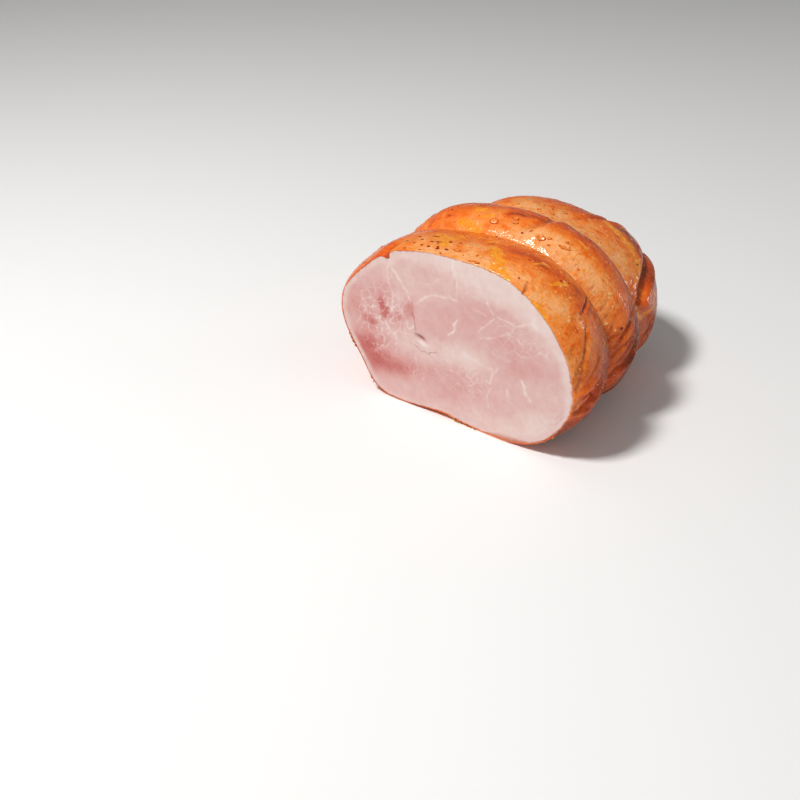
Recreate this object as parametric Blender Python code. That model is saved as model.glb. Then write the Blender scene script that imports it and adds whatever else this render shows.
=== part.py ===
"""A smoked, boned ham that was tied while it cooked and is cut straight across at one end.

Two round ties have drawn the meat in, which leaves three lobes: the cut one in front, a
full one in the middle and a domed one at the back. Lengthwise ties cross over the domed
end. The strings themselves are gone. +X is to the right across the cut face, -Y is out of
the cut face, +Z is up, and the ham lies on z = 0. Lengths are in metres, angles in degrees,
and an angle goes round the ham's axis from +X (0) over the top (90).
"""
from dataclasses import dataclass

import bmesh
import bpy
import numpy as np
from mathutils import Matrix

NAME = "ham"

# The whole ham
LENGTH = 0.2058
AXIS_X = -0.0007
AXIS_Z = 0.064
FACE_Y = -0.1032

# Radius of the cut face every 20 degrees
FACE_RADII = (0.1004, 0.0925, 0.0841, 0.0762, 0.0693, 0.0687, 0.0742, 0.0829, 0.0929,
              0.1011, 0.0925, 0.0889, 0.0740, 0.0612, 0.0632, 0.0752, 0.0902, 0.1014)

# The two round ties: distance from the cut face, and girth there as a part of the face's
FIRST_TIE_AT = 0.0584
FIRST_TIE_GIRTH = 0.92
SECOND_TIE_AT = 0.1144
SECOND_TIE_GIRTH = 0.82

# How far each lobe swells past its ties, every 45 degrees
FRONT_SWELL = (0.0133, 0.0116, 0.0042, 0.0080, 0.0112, 0.0122, 0.0104, 0.0035)
MIDDLE_SWELL = (0.0160, 0.0147, 0.0145, 0.0176, 0.0182, 0.0157, 0.0143, 0.0107)
BACK_SWELL = (0.0062, -0.0012, -0.0010, 0.0106, 0.0139, 0.0166, 0.0192, 0.0156)
SWELL_POWER = 2.3

# The front lobe was a little longer before the cut
FRONT_BEGINS_AT = -0.0034

# The dome at the back: where it is fullest, how it closes, and how far its tip is off the axis
SHOULDER = 0.42
DOME_POWER = 2.42
DOME_ROUNDNESS = 2.25
TIP_RIGHT = 0.0075
TIP_UP = 0.0057

# Where the meat has sagged on to the surface under it
SAG_ROUNDING = 0.0018
SAG = 0.0005

# The dent in the cut face: across and up from the face's bottom middle, and its half sizes
PIT_AT = (-0.0270, 0.0600)
PIT_HALF_SIZE = (0.0040, 0.0025, 0.0022)
PIT_ROUND = 14
PIT_ROWS = 9

# The proud rind beside a furrow: its crest and its spread, in half widths of the furrow
LIP_CREST = 1.7
LIP_SPREAD = 0.9

# The mesh: points round the ham, and rows along each lobe
ROUND = 112
FRONT_ROWS = 12
MIDDLE_ROWS = 13
BACK_ROWS = 19
RUN_STEPS = 24

# Rind
RIND_COLOUR = (0.62, 0.20, 0.065, 1.0)
RIND_ROUGHNESS = 0.38


@dataclass(frozen=True)
class Furrow:
    """A valley pressed into the rind, with the rind beside it standing proud on its left.

    run holds (angle, distance from the cut face, depth) at a few places along it.
    """

    run: tuple
    half_width: float
    lip: float = 0.0


FURROWS = (
    # Lengthwise tie over the top of the middle lobe, then of the back lobe to the tip
    Furrow(((71, 0.110, 0.0022), (73, 0.085, 0.0026), (76, 0.071, 0.0018), (80, 0.064, 0.0002)),
           0.0056, 0.0012),
    Furrow(((50, 0.2053, 0.0030), (58, 0.186, 0.0034), (67, 0.168, 0.0034), (77, 0.149, 0.0032),
            (84, 0.133, 0.0026), (86, 0.120, 0.0012)), 0.0060, 0.0012),
    # Deep tuck out of the tip and down the right of the back lobe
    Furrow(((26, 0.2053, 0.0030), (22, 0.190, 0.0036), (17.6, 0.170, 0.0052), (13, 0.150, 0.0062),
            (9, 0.136, 0.0060), (5, 0.128, 0.0044)), 0.0060, 0.0020),
    # The curl of rind where that tuck ends
    Furrow(((2, 0.1280, 0.0024), (-2, 0.1325, 0.0040), (-5, 0.1370, 0.0020)), 0.0060, 0.0020),
    # Lengthwise ties on the left and underneath, like the one over the top
    Furrow(((186, 0.064, 0.0008), (188, 0.085, 0.0028), (187, 0.110, 0.0022)), 0.0056, 0.0012),
    Furrow(((187, 0.118, 0.0016), (190, 0.144, 0.0034), (197, 0.175, 0.0038), (206, 0.2053, 0.0030)),
           0.0060, 0.0014),
    Furrow(((262, 0.118, 0.0014), (258, 0.146, 0.0032), (250, 0.178, 0.0034), (240, 0.2053, 0.0030)),
           0.0060, 0.0012),
    # Folds on the right of the middle lobe
    Furrow(((15, 0.088, 0.0008), (9, 0.079, 0.0022), (4, 0.069, 0.0024), (-2, 0.063, 0.0010)),
           0.0052, 0.0014),
    Furrow(((0, 0.086, 0.0010), (-5, 0.078, 0.0026), (-10, 0.068, 0.0026), (-14, 0.063, 0.0010)),
           0.0052, 0.0018),
    # Long fold down the right of the front lobe to the cut
    Furrow(((25, 0.031, 0.0006), (20, 0.0225, 0.0018), (13, 0.0130, 0.0024), (6, 0.0060, 0.0022),
            (-1, 0.0020, 0.0012)), 0.0048, 0.0012),
    # Flap of rind low on the right of the front lobe
    Furrow(((1, 0.026, 0.0006), (-6, 0.0170, 0.0030), (-10, 0.0080, 0.0026)), 0.0052, 0.0022),
    # Notch in the cut's rim at the upper left
    Furrow(((137, 0.000, 0.0044), (134, 0.006, 0.0030), (129, 0.014, 0.0004)), 0.0046),
    # Fold low on the left, beside the first tie
    Furrow(((196, 0.026, 0.0006), (203, 0.040, 0.0022), (209, 0.052, 0.0016)), 0.0052, 0.0012),
)


def closed_curve(values):
    """Smooth closed curve through evenly spaced values, as a function of the angle in radians."""
    count = len(values)
    waves = np.fft.rfft(values) / count

    def value_at(angle):
        total = np.full_like(angle, waves[0].real)
        for order in range(1, len(waves)):
            weight = 1.0 if 2 * order == count else 2.0
            total += weight * waves[order].real * np.cos(order * angle)
            total -= weight * waves[order].imag * np.sin(order * angle)
        return total

    return value_at


face_radius = closed_curve(FACE_RADII)
front_swell = closed_curve(FRONT_SWELL)
middle_swell = closed_curve(MIDDLE_SWELL)
back_swell = closed_curve(BACK_SWELL)


def arch(part):
    """Rises from 0 at a lobe's start to 1 in its middle and falls to 0 at its end."""
    return 1.0 - np.abs(2.0 * part - 1.0) ** SWELL_POWER


def front_lobe(angle, along):
    """Radius of the cut lobe, which starts at the face's own outline."""
    whole = FIRST_TIE_AT - FRONT_BEGINS_AT
    gone = along / FIRST_TIE_AT
    swell = arch((along - FRONT_BEGINS_AT) / whole) - arch(-FRONT_BEGINS_AT / whole) * (1.0 - gone)
    girth = 1.0 + (FIRST_TIE_GIRTH - 1.0) * gone
    return face_radius(angle) * girth + front_swell(angle) * swell


def middle_lobe(angle, along):
    """Radius of the lobe between the two ties."""
    gone = (along - FIRST_TIE_AT) / (SECOND_TIE_AT - FIRST_TIE_AT)
    girth = FIRST_TIE_GIRTH + (SECOND_TIE_GIRTH - FIRST_TIE_GIRTH) * gone
    return face_radius(angle) * girth + middle_swell(angle) * arch(gone)


def back_lobe(angle, along):
    """Radius of the domed lobe, which closes in a tip."""
    gone = np.clip((along - SECOND_TIE_AT) / (LENGTH - SECOND_TIE_AT), 0.0, 1.0)
    shoulder = 1.0 - np.clip(1.0 - gone / SHOULDER, 0.0, 1.0) ** SWELL_POWER
    girth = face_radius(angle) * SECOND_TIE_GIRTH + back_swell(angle) * shoulder
    return girth * (1.0 - gone ** DOME_POWER) ** (1.0 / DOME_ROUNDNESS)


def smooth_body(angle, along):
    """Points of the ham before furrows and sag, for arrays of angles and distances."""
    lobes = (front_lobe(angle, along), middle_lobe(angle, along), back_lobe(angle, along))
    radius = np.select((along <= FIRST_TIE_AT, along <= SECOND_TIE_AT), lobes[:2], lobes[2])
    drift = np.clip((along - SECOND_TIE_AT) / (LENGTH - SECOND_TIE_AT), 0.0, 1.0) ** 2
    across = AXIS_X + TIP_RIGHT * drift + radius * np.cos(angle)
    up = AXIS_Z + TIP_UP * drift + radius * np.sin(angle)
    return np.stack((across, FACE_Y + along, up), axis=-1)


def outward(points):
    """Directions away from the ham's core: straight out along it, and spreading over the dome."""
    core = points.copy()
    core[..., 0] = AXIS_X
    core[..., 1] = np.minimum(points[..., 1], FACE_Y + SECOND_TIE_AT)
    core[..., 2] = AXIS_Z
    away = points - core
    return away / np.linalg.norm(away, axis=-1, keepdims=True)


def smooth_run(run, steps):
    """Evenly spread rows of a smooth curve through a furrow's own points."""
    rows = np.array(run, dtype=float)
    padded = np.vstack((2 * rows[0] - rows[1], rows, 2 * rows[-1] - rows[-2]))
    place = np.linspace(0.0, len(rows) - 1.0, steps)
    stretch = np.minimum(place.astype(int), len(rows) - 2)
    part = (place - stretch)[:, None]
    before, start, end, after = (padded[stretch + shift] for shift in range(4))
    bend = 2 * before - 5 * start + 4 * end - after
    twist = 3 * (start - end) + after - before
    return start + 0.5 * part * (end - before + part * (bend + part * twist))


def furrow_relief(furrow, points, away):
    """How far one furrow moves the rind in or out at each point."""
    run = smooth_run(furrow.run, RUN_STEPS)
    line = smooth_body(np.radians(run[:, 0]), run[:, 1])
    reach = points[..., None, :] - line
    distance = np.linalg.norm(reach, axis=-1)
    nearest = distance.argmin(axis=-1)
    gap = np.take_along_axis(distance, nearest[..., None], axis=-1)[..., 0]
    ahead = np.gradient(line, axis=0)[nearest]
    offset = points - line[nearest]
    left = np.einsum("...i,...i->...", np.cross(ahead, offset), away) > 0.0
    depth = np.clip(run[nearest, 2], 0.0, None)
    strength = np.clip(depth / max(row[2] for row in furrow.run), 0.0, 1.0)
    valley = -depth * np.exp(-(gap / furrow.half_width) ** 2)
    rise = np.exp(-((gap / furrow.half_width - LIP_CREST) / LIP_SPREAD) ** 2)
    return valley + np.where(left, furrow.lip * strength * rise, 0.0)


def rind_points(angle, along):
    """Points of the finished outside of the ham."""
    points = smooth_body(angle, along)
    away = outward(points)
    reliefs = np.stack([furrow_relief(furrow, points, away) for furrow in FURROWS])
    points += (reliefs.min(axis=0) + reliefs.max(axis=0))[..., None] * away
    sagged = SAG_ROUNDING * np.logaddexp(0.0, points[..., 2] / SAG_ROUNDING) - SAG
    points[..., 2] = np.maximum(sagged, 0.0)
    return points


def row_places():
    """Distances of the rows from the cut face, closer together beside the ties and the tip."""
    def eased(count):
        return 0.5 - 0.5 * np.cos(np.linspace(0.0, np.pi, count + 1))

    front = FIRST_TIE_AT * np.sin(np.linspace(0.0, np.pi / 2, FRONT_ROWS + 1))
    middle = FIRST_TIE_AT + (SECOND_TIE_AT - FIRST_TIE_AT) * eased(MIDDLE_ROWS)
    back = SECOND_TIE_AT + (LENGTH - SECOND_TIE_AT) * eased(BACK_ROWS)
    return np.concatenate((front, middle[1:], back[1:-1]))


def build_body():
    """Loft the rows of rind into a closed mesh with a flat cut face and a tip."""
    angles = np.arange(ROUND) * 2.0 * np.pi / ROUND
    angle, along = np.meshgrid(angles, row_places())
    rows = rind_points(angle, along)
    tip = rind_points(np.zeros(1), np.full(1, LENGTH))[0]
    shape = bmesh.new()
    rings = [[shape.verts.new(point) for point in row] for row in rows]
    tip_vertex = shape.verts.new(tip)
    shape.faces.new(rings[0])
    for near, far in zip(rings, rings[1:]):
        for index in range(ROUND):
            following = (index + 1) % ROUND
            shape.faces.new((near[index], far[index], far[following], near[following]))
    for index in range(ROUND):
        shape.faces.new((rings[-1][index], tip_vertex, rings[-1][(index + 1) % ROUND]))
    bmesh.ops.recalc_face_normals(shape, faces=shape.faces)
    mesh = bpy.data.meshes.new(NAME)
    shape.to_mesh(mesh)
    shape.free()
    return mesh


def build_pit():
    """Mesh of the egg-shaped cutter for the dent in the cut face."""
    shape = bmesh.new()
    bmesh.ops.create_uvsphere(shape, u_segments=PIT_ROUND, v_segments=PIT_ROWS, radius=1.0,
                              matrix=Matrix.Diagonal((*PIT_HALF_SIZE, 1.0)))
    mesh = bpy.data.meshes.new("pit_cutter")
    shape.to_mesh(mesh)
    shape.free()
    return mesh


def rind_material():
    """Smoked rind, a warm orange brown with a soft shine."""
    material = bpy.data.materials.new("smoked_rind")
    material.use_nodes = True
    shader = material.node_tree.nodes["Principled BSDF"]
    shader.inputs["Base Color"].default_value = RIND_COLOUR
    shader.inputs["Roughness"].default_value = RIND_ROUGHNESS
    shader.inputs["Metallic"].default_value = 0.0
    return material


def add_collection(name):
    """New collection under the scene's own."""
    collection = bpy.data.collections.new(name)
    bpy.context.scene.collection.children.link(collection)
    return collection


def main():
    """Clear the scene and build the ham."""
    for leftover in list(bpy.data.objects):
        bpy.data.objects.remove(leftover, do_unlink=True)
    parts = add_collection(NAME)
    cutters = add_collection("cutters")

    pit = bpy.data.objects.new("pit_cutter", build_pit())
    pit.location = (PIT_AT[0], FACE_Y, PIT_AT[1])
    pit.hide_render = True
    pit.display_type = "WIRE"
    cutters.objects.link(pit)

    ham = bpy.data.objects.new(NAME, build_body())
    ham.data.materials.append(rind_material())
    ham.data.shade_smooth()
    parts.objects.link(ham)
    cut = ham.modifiers.new("pit", "BOOLEAN")
    cut.operation = "DIFFERENCE"
    cut.object = pit


main()
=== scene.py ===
"""Looks of a smoked, tied ham that is cut straight across at one end.

The rind and the cut face follow the same sizes as the solid they stand for, with a much
finer surface. +X is to the right across the cut face, -Y is out of the cut face and +Z is
up. An angle goes round the ham's axis from +X (0) over the top (90), in degrees, and a
distance along the ham starts at the cut face.
"""

from __future__ import annotations

import logging
import math
from collections.abc import Callable, Mapping, Sequence
from dataclasses import dataclass, field
from enum import Enum

import bmesh
import bpy
import numpy as np
from mathutils import Matrix, Vector

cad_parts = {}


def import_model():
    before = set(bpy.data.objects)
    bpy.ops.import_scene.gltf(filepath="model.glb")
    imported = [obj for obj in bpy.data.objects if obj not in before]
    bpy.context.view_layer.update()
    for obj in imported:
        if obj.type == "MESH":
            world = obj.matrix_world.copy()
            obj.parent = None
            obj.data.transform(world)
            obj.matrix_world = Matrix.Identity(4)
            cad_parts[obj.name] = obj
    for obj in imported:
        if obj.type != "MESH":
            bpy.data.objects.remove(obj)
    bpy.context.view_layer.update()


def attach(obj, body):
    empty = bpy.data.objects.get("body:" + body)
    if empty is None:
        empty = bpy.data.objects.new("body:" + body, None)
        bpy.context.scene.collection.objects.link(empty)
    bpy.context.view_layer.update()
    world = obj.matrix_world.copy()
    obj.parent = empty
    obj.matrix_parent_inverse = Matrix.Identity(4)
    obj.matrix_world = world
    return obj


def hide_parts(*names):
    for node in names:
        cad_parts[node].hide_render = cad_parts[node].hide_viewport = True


LOG = logging.getLogger("ham")
MM = 0.001
Array = np.ndarray
Colour = tuple[float, float, float, float]
Pair = tuple[float, float]
Sockets = dict[str, bpy.types.NodeSocket]
Shares = tuple[tuple[str, float], ...]

# The rind's usual distance from the ham's axis, in metres
USUAL_RADIUS = 95 * MM


def linear(hex_colour: str) -> Colour:
    """Turn an sRGB hex colour into a linear one.

    Args:
        hex_colour: A colour such as "#E07030".

    Returns:
        Linear red, green and blue, and an alpha of 1.
    """
    parts = [int(hex_colour[start:start + 2], 16) / 255.0 for start in (1, 3, 5)]
    red, green, blue = (
        part / 12.92 if part <= 0.04045 else ((part + 0.055) / 1.055) ** 2.4 for part in parts
    )
    return (red, green, blue, 1.0)


def add_node(
    tree: bpy.types.NodeTree,
    kind: str,
    inputs: Mapping[str | int, object] | None = None,
    stops: Sequence[tuple[float, str]] = (),
    **settings: object,
) -> bpy.types.Node:
    """Add a node with its settings, its input values and its links.

    Args:
        tree: The tree that gets the node.
        kind: The node's type name.
        inputs: A value for each input, or the output socket to link it to.
        stops: Places and hex colours of a colour ramp.
        **settings: Values of the node's own properties.

    Returns:
        The new node.
    """
    node = tree.nodes.new(kind)
    for name, value in settings.items():
        setattr(node, name, value)
    for key, value in (inputs or {}).items():
        if isinstance(value, bpy.types.NodeSocket):
            tree.links.new(value, node.inputs[key])
        else:
            node.inputs[key].default_value = value
    for index, (place, hex_colour) in enumerate(stops):
        elements = node.color_ramp.elements
        element = elements[index] if index < 2 else elements.new(place)
        element.position = place
        element.color = linear(hex_colour)
    return node


def new_material(name: str) -> tuple[bpy.types.Material, bpy.types.NodeTree, bpy.types.Node]:
    """Start a material.

    Args:
        name: What the real material is.

    Returns:
        The material, its tree and its shader.
    """
    material = bpy.data.materials.new(name)
    material.use_nodes = True
    return material, material.node_tree, material.node_tree.nodes["Principled BSDF"]


def set_inputs(node: bpy.types.Node, values: Mapping[str, object]) -> None:
    """Write constant values on a node's sockets."""
    for name, value in values.items():
        node.inputs[name].default_value = value


def new_object(name: str, data: bpy.types.ID) -> bpy.types.Object:
    """Make an object and link it to the scene.

    Args:
        name: The object's name.
        data: Its mesh, light or camera.

    Returns:
        The object.
    """
    thing = bpy.data.objects.new(name, data)
    bpy.context.scene.collection.objects.link(thing)
    return thing


def bell(values: Array, centre: float, width: float | Array) -> Array:
    """Give a smooth bump that is 1 at its centre and fades over a width."""
    return np.exp(-((values - centre) / width) ** 2)


def bells(values: Array, rows: Sequence[tuple[float, float, float]]) -> Array:
    """Add up bumps that each have a height, a centre and a width."""
    return sum(height * bell(values, centre, width) for height, centre, width in rows)


def smooth_step(values: Array, low: float, high: float) -> Array:
    """Ease values from 0 at low to 1 at high."""
    part = np.clip((values - low) / (high - low), 0.0, 1.0)
    return part * part * (3.0 - 2.0 * part)


def closed_curve(values: Sequence[float]) -> Callable[[Array], Array]:
    """Make a smooth closed curve through evenly spaced values.

    Args:
        values: The curve's values, evenly spaced round a circle.

    Returns:
        A function of the angle in radians.
    """
    count = len(values)
    waves = np.fft.rfft(values) / count

    def value_at(angle: Array) -> Array:
        """Give the curve's values.

        Args:
            angle: Angles in radians.

        Returns:
            The value at each angle.
        """
        total = np.full_like(angle, waves[0].real)
        for order in range(1, len(waves)):
            weight = 1.0 if 2 * order == count else 2.0
            total += weight * waves[order].real * np.cos(order * angle)
            total -= weight * waves[order].imag * np.sin(order * angle)
        return total

    return value_at


def smooth_run(run: Sequence[Sequence[float]], steps: int) -> Array:
    """Spread rows evenly along a smooth curve through a few rows.

    Args:
        run: The rows that the curve goes through.
        steps: How many rows to give back.

    Returns:
        An array of rows.
    """
    rows = np.array(run, dtype=float)
    padded = np.vstack((2 * rows[0] - rows[1], rows, 2 * rows[-1] - rows[-2]))
    place = np.linspace(0.0, len(rows) - 1.0, steps)
    stretch = np.minimum(place.astype(int), len(rows) - 2)
    part = (place - stretch)[:, None]
    before, start, end, after = (padded[stretch + shift] for shift in range(4))
    bend = 2 * before - 5 * start + 4 * end - after
    twist = 3 * (start - end) + after - before
    return start + 0.5 * part * (end - before + part * (bend + part * twist))


class Grain:
    """Smooth seeded noise in space, from about -1 to 1."""

    COUNT = 256
    GAIN = 1.6

    def __init__(self, seed: int) -> None:
        """Draw the noise's slopes.

        Args:
            seed: Seed of the random draw.
        """
        draw = np.random.default_rng(seed)
        self.order = draw.permutation(self.COUNT)
        slopes = draw.normal(size=(self.COUNT, 3))
        self.slopes = slopes / np.linalg.norm(slopes, axis=1, keepdims=True)

    def at(self, points: Array, lump: float) -> Array:
        """Read the noise.

        Args:
            points: Places in metres, in the last axis.
            lump: Width of one lump in metres.

        Returns:
            One value for each point.
        """
        place = points / lump
        corner = np.floor(place).astype(int)
        part = place - corner
        ease = part * part * part * (part * (part * 6.0 - 15.0) + 10.0)
        total = np.zeros(points.shape[:-1])
        last = self.COUNT - 1
        for step in np.ndindex(2, 2, 2):
            cell = (corner + step) & last
            mixed = self.order[(self.order[cell[..., 0]] + cell[..., 1]) & last]
            slope = self.slopes[self.order[(mixed + cell[..., 2]) & last]]
            weight = np.prod(np.where(np.array(step) == 1, ease, 1.0 - ease), axis=-1)
            total += weight * np.einsum("...i,...i->...", slope, part - step)
        return self.GAIN * total

    def layers(self, points: Array, rows: Sequence[Pair]) -> Array:
        """Add up noise of several sizes, each with a height and a width in metres."""
        return sum(height * self.at(points, width) for height, width in rows)


@dataclass(frozen=True)
class Furrow:
    """A line pressed into the rind, or raised on it, through a few places.

    run holds (angle, mm along the ham, depth in mm), and a depth below 0 is a ridge. The
    rind on the line's left may stand proud by lip, and shade is how much painted shade
    darkens its bottom.
    """

    run: tuple[tuple[float, float, float], ...]
    half_width: float
    lip: float = 0.0
    shade: float = 1.0


@dataclass(frozen=True)
class Patch:
    """A soft-edged line or spot of colour on the rind, through (angle, mm along) places."""

    run: tuple[tuple[float, float], ...]
    half_width: float
    strength: float = 1.0


# Ties and folds that are in the solid too
MAIN_FURROWS = (
    Furrow(((71, 110, 2.2), (73, 85, 2.6), (76, 71, 1.8), (80, 64, 0.2)), 4.6, 1.2, 0.35),
    Furrow(((50, 205.3, 3.0), (58, 186, 3.4), (67, 168, 3.4), (77, 149, 3.2), (84, 133, 2.6),
            (86, 120, 1.2)), 5.0, 1.2, 0.3),
    Furrow(((26, 205.3, 3.0), (22, 190, 3.6), (17.6, 170, 5.2), (13, 150, 6.2), (9, 136, 6.0),
            (5, 128, 4.4)), 4.6, 2.0, 1.0),
    Furrow(((2, 128, 2.4), (-2, 132.5, 4.0), (-5, 137, 2.0)), 5.0, 2.0, 0.2),
    Furrow(((186, 64, 0.8), (188, 85, 2.8), (187, 110, 2.2)), 4.6, 1.2, 0.4),
    Furrow(((187, 118, 1.6), (190, 144, 3.4), (197, 175, 3.8), (206, 205.3, 3.0)), 5.0, 1.4, 0.5),
    Furrow(((262, 118, 1.4), (258, 146, 3.2), (250, 178, 3.4), (240, 205.3, 3.0)), 5.0, 1.2, 0.4),
    Furrow(((15, 88, 0.5), (9, 79, 1.4), (4, 69, 1.6), (-2, 63, 0.8)), 2.4, 0.7, 0.30),
    Furrow(((0, 86, 0.8), (-5, 78, 2.0), (-10, 68, 2.2), (-14, 63, 1.0)), 2.8, 1.2, 0.45),
    Furrow(((26, 22.1, 0.8), (22.8, 22.6, 1.0), (19.6, 19.9, 1.3), (14.4, 14.4, 1.5), (10, 9.8, 1.5),
            (6.4, 7, 1.3), (1.6, 3.8, 1.0), (-2, 1.4, 0.6)), 1.5, 0.7, 0.55),
    Furrow(((1, 26, 0.6), (-6, 17, 3.0), (-10, 8, 2.6)), 3.0, 2.0, 0.9),
    Furrow(((137, 0, 4.4), (134, 6, 3.0), (129, 14, 0.4)), 3.8, 0.0, 0.9),
    Furrow(((196, 26, 0.6), (203, 40, 2.2), (209, 52, 1.6)), 4.0, 1.2, 0.5),
)

# Slits, fine folds and wrinkles
FINE_FURROWS = (
    Furrow(((29, 45, 0.6), (27, 32, 1.6), (25.6, 23.5, 0.6)), 1.2, 0.8, 0.9),
    Furrow(((17.2, 7.0, 0.4), (14, 3.3, 0.8), (10.8, 0.5, 0.6)), 0.9, 0.4, 0.35),
    Furrow(((7.2, 19.4, 0.2), (4, 15.3, 0.8), (1.6, 9.3, 0.4)), 0.9, 0.3, 0.4),
    Furrow(((10.4, 24.4, 0.2), (6.8, 21.7, 0.8), (4.4, 17.2, 0.3)), 0.9, 0.3, 0.6),
    Furrow(((-4.4, 3.8, 0.3), (-8.8, 1.9, 0.7), (-14.8, 4.2, 0.4)), 0.9, 0.3, 0.7),
    Furrow(((-7.2, 14.9, 0.3), (-12.4, 11.2, 0.8), (-17.2, 8.4, 0.4)), 1.0, 0.4, 0.7),
    Furrow(((30.4, 67.2, 0.1), (29.6, 63.9, 0.5), (28.8, 61.1, 0.3)), 0.7, 0.2, 0.5),
    Furrow(((20.8, 66.8, 0.1), (19.6, 63.5, 0.6), (18, 61.1, 0.3)), 0.7, 0.2, 0.5),
    Furrow(((16.4, 66, 0.1), (15.6, 63.1, 0.6), (14.4, 61.1, 0.3)), 0.7, 0.2, 0.5),
    Furrow(((13.6, 66.8, 0.1), (10.8, 64.3, 0.7), (7.6, 61.5, 0.4)), 0.8, 0.3, 0.6),
    Furrow(((7.6, 71.6, 0.1), (5.6, 62.3, 0.7), (4, 60, 0.4)), 0.8, 0.3, 0.6),
    Furrow(((4.8, 83.5, 0.3), (2.8, 74.8, 0.9), (0.4, 68, 0.9), (-2.8, 62.3, 0.5)), 1.0, 0.5, 0.7),
    Furrow(((-4.4, 76, 0.3), (-8, 70, 1.0), (-13.6, 63.9, 0.6)), 1.0, 0.6, 0.8),
    Furrow(((-16, 88, 0.3), (-22, 78, 0.9), (-26, 68, 0.5)), 1.2, 0.5, 0.7),
    Furrow(((-24, 44, 0.2), (-28, 30, 0.8), (-30, 16, 0.4)), 1.2, 0.4, 0.6),
    Furrow(((9.5, 8.0, 0.3), (6.8, 4.7, 0.9), (2, 0, 0.7)), 1.0, 0.5, 0.35),
    Furrow(((5.6, 10.4, 0.3), (2.8, 6.1, 0.9), (-0.4, 2.4, 0.5)), 1.0, 0.4, 0.35),
    Furrow(((-6.8, 0.0, -0.8), (-4, 2.4, -1.4), (-2.4, 8, -1.6), (0, 15, -1.6), (0.5, 22, -0.6)),
           2.2, 0.0, 0.0),
    Furrow(((-5.6, 6.6, 1.0), (-4.4, 11, 1.8), (-5, 17, 2.0), (-9, 18.5, 1.4), (-11, 13, 1.6)),
           1.6, 0.6, 1.0),
    Furrow(((-11.2, 0.9, 0.8), (-10.8, 6.6, 1.5), (-9.2, 10.7, 0.9)), 1.2, 0.4, 1.0),
    Furrow(((-15.6, 1.9, 0.5), (-14, 8, 0.9)), 1.0, 0.3, 0.8),
    Furrow(((13.6, 91.5, 0.3), (9.6, 81, 0.8), (5.6, 71, 0.9), (1, 64.3, 0.5)), 1.0, 0.4, 0.6),
    Furrow(((8.4, 90, 0.3), (2.4, 80, 0.9), (-2, 72, 1.0), (-6, 65.6, 0.7)), 1.0, 0.6, 0.75),
    Furrow(((2, 88, 0.4), (-4, 82, 1.1), (-8, 76, 1.2), (-10, 68, 1.0), (-14, 62.7, 0.8)),
           1.1, 0.8, 0.9),
    Furrow(((45.6, 0.0, 1.0), (46.5, 3, 0.9), (49, 7, 0.3)), 1.0, 0.4, 0.8),
    Furrow(((20, 137, 0.1), (16.5, 129.5, 0.5), (14, 122, 0.3)), 0.8, 0.2, 0.4),
    Furrow(((14, 136, 0.1), (11, 128, 0.5), (9.5, 121, 0.3)), 0.8, 0.2, 0.4),
    Furrow(((-4, 150, 0.4), (-9, 142, 1.4), (-16, 131, 1.0), (-22, 122, 0.5)), 1.4, 0.6, 0.7),
    Furrow(((-8, 156, 0.4), (-13, 147, 1.4), (-20, 135, 1.0), (-26, 124, 0.5)), 1.4, 0.6, 0.7),
    Furrow(((-12, 160, 0.4), (-17, 150, 1.2), (-24, 137, 0.9), (-30, 126, 0.4)), 1.4, 0.6, 0.6),
    Furrow(((22, 160, 0.2), (26, 150, 0.7), (32, 140, 0.2)), 1.3, 0.4, 0.25),
    Furrow(((150, 66, 0.2), (158, 78, 0.8), (163, 92, 0.3)), 1.4, 0.5, 0.35),
    Furrow(((172, 20, 0.2), (178, 34, 0.9), (181, 47, 0.4)), 1.4, 0.5, 0.4),
    Furrow(((214, 66, 0.3), (206, 80, 1.0), (200, 96, 0.3)), 1.6, 0.6, 0.4),
)

# Rendered fat that has gone golden
GOLD_PATCHES = (
    Patch(((114, 27.5), (109.6, 25), (105, 26)), 4.4),
    Patch(((106.4, 21), (104.4, 14)), 3.8, 1.1),
    Patch(((132, 1), (129, 6), (126, 12)), 1.3, 0.9),
    Patch(((104, 34), (100, 35)), 2.6, 0.7),
    Patch(((85, 35), (80.8, 41)), 1.7, 0.8),
    Patch(((76, 26), (69, 15), (65.6, 11.5)), 3.4, 1.1),
    Patch(((67, 5), (62, 5), (57, 1)), 3.0),
    Patch(((120, 64), (114, 62), (108, 60)), 3.4, 0.9),
    Patch(((113, 76), (109, 76.5)), 2.8, 0.9),
    Patch(((107, 69), (101, 71)), 1.6, 0.7),
    Patch(((52, 82.5), (49.2, 81.5), (46, 80.5)), 1.0),
    Patch(((54, 25), (51.6, 32), (49, 33)), 1.2, 0.7),
    Patch(((42, 17), (39.6, 25), (38, 30)), 1.5, 0.7),
    Patch(((40, 0), (35, 0.6), (30, 0)), 1.6, 0.9),
    Patch(((54, 161.5), (47, 159.5), (43, 158), (34, 156.5), (27.6, 151.5), (22, 149), (15.6, 142),
           (11.6, 137.5)), 3.3),
    Patch(((4.8, 127.2), (0.4, 123.6), (-3.2, 128.5), (-2.8, 137.8), (-0.8, 147.4), (1.6, 155)), 1.5, 0.8),
    Patch(((206, 24), (214, 33)), 4.0, 0.6),
    Patch(((170, 128), (178, 139), (182, 150)), 3.0, 0.7),
)
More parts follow.
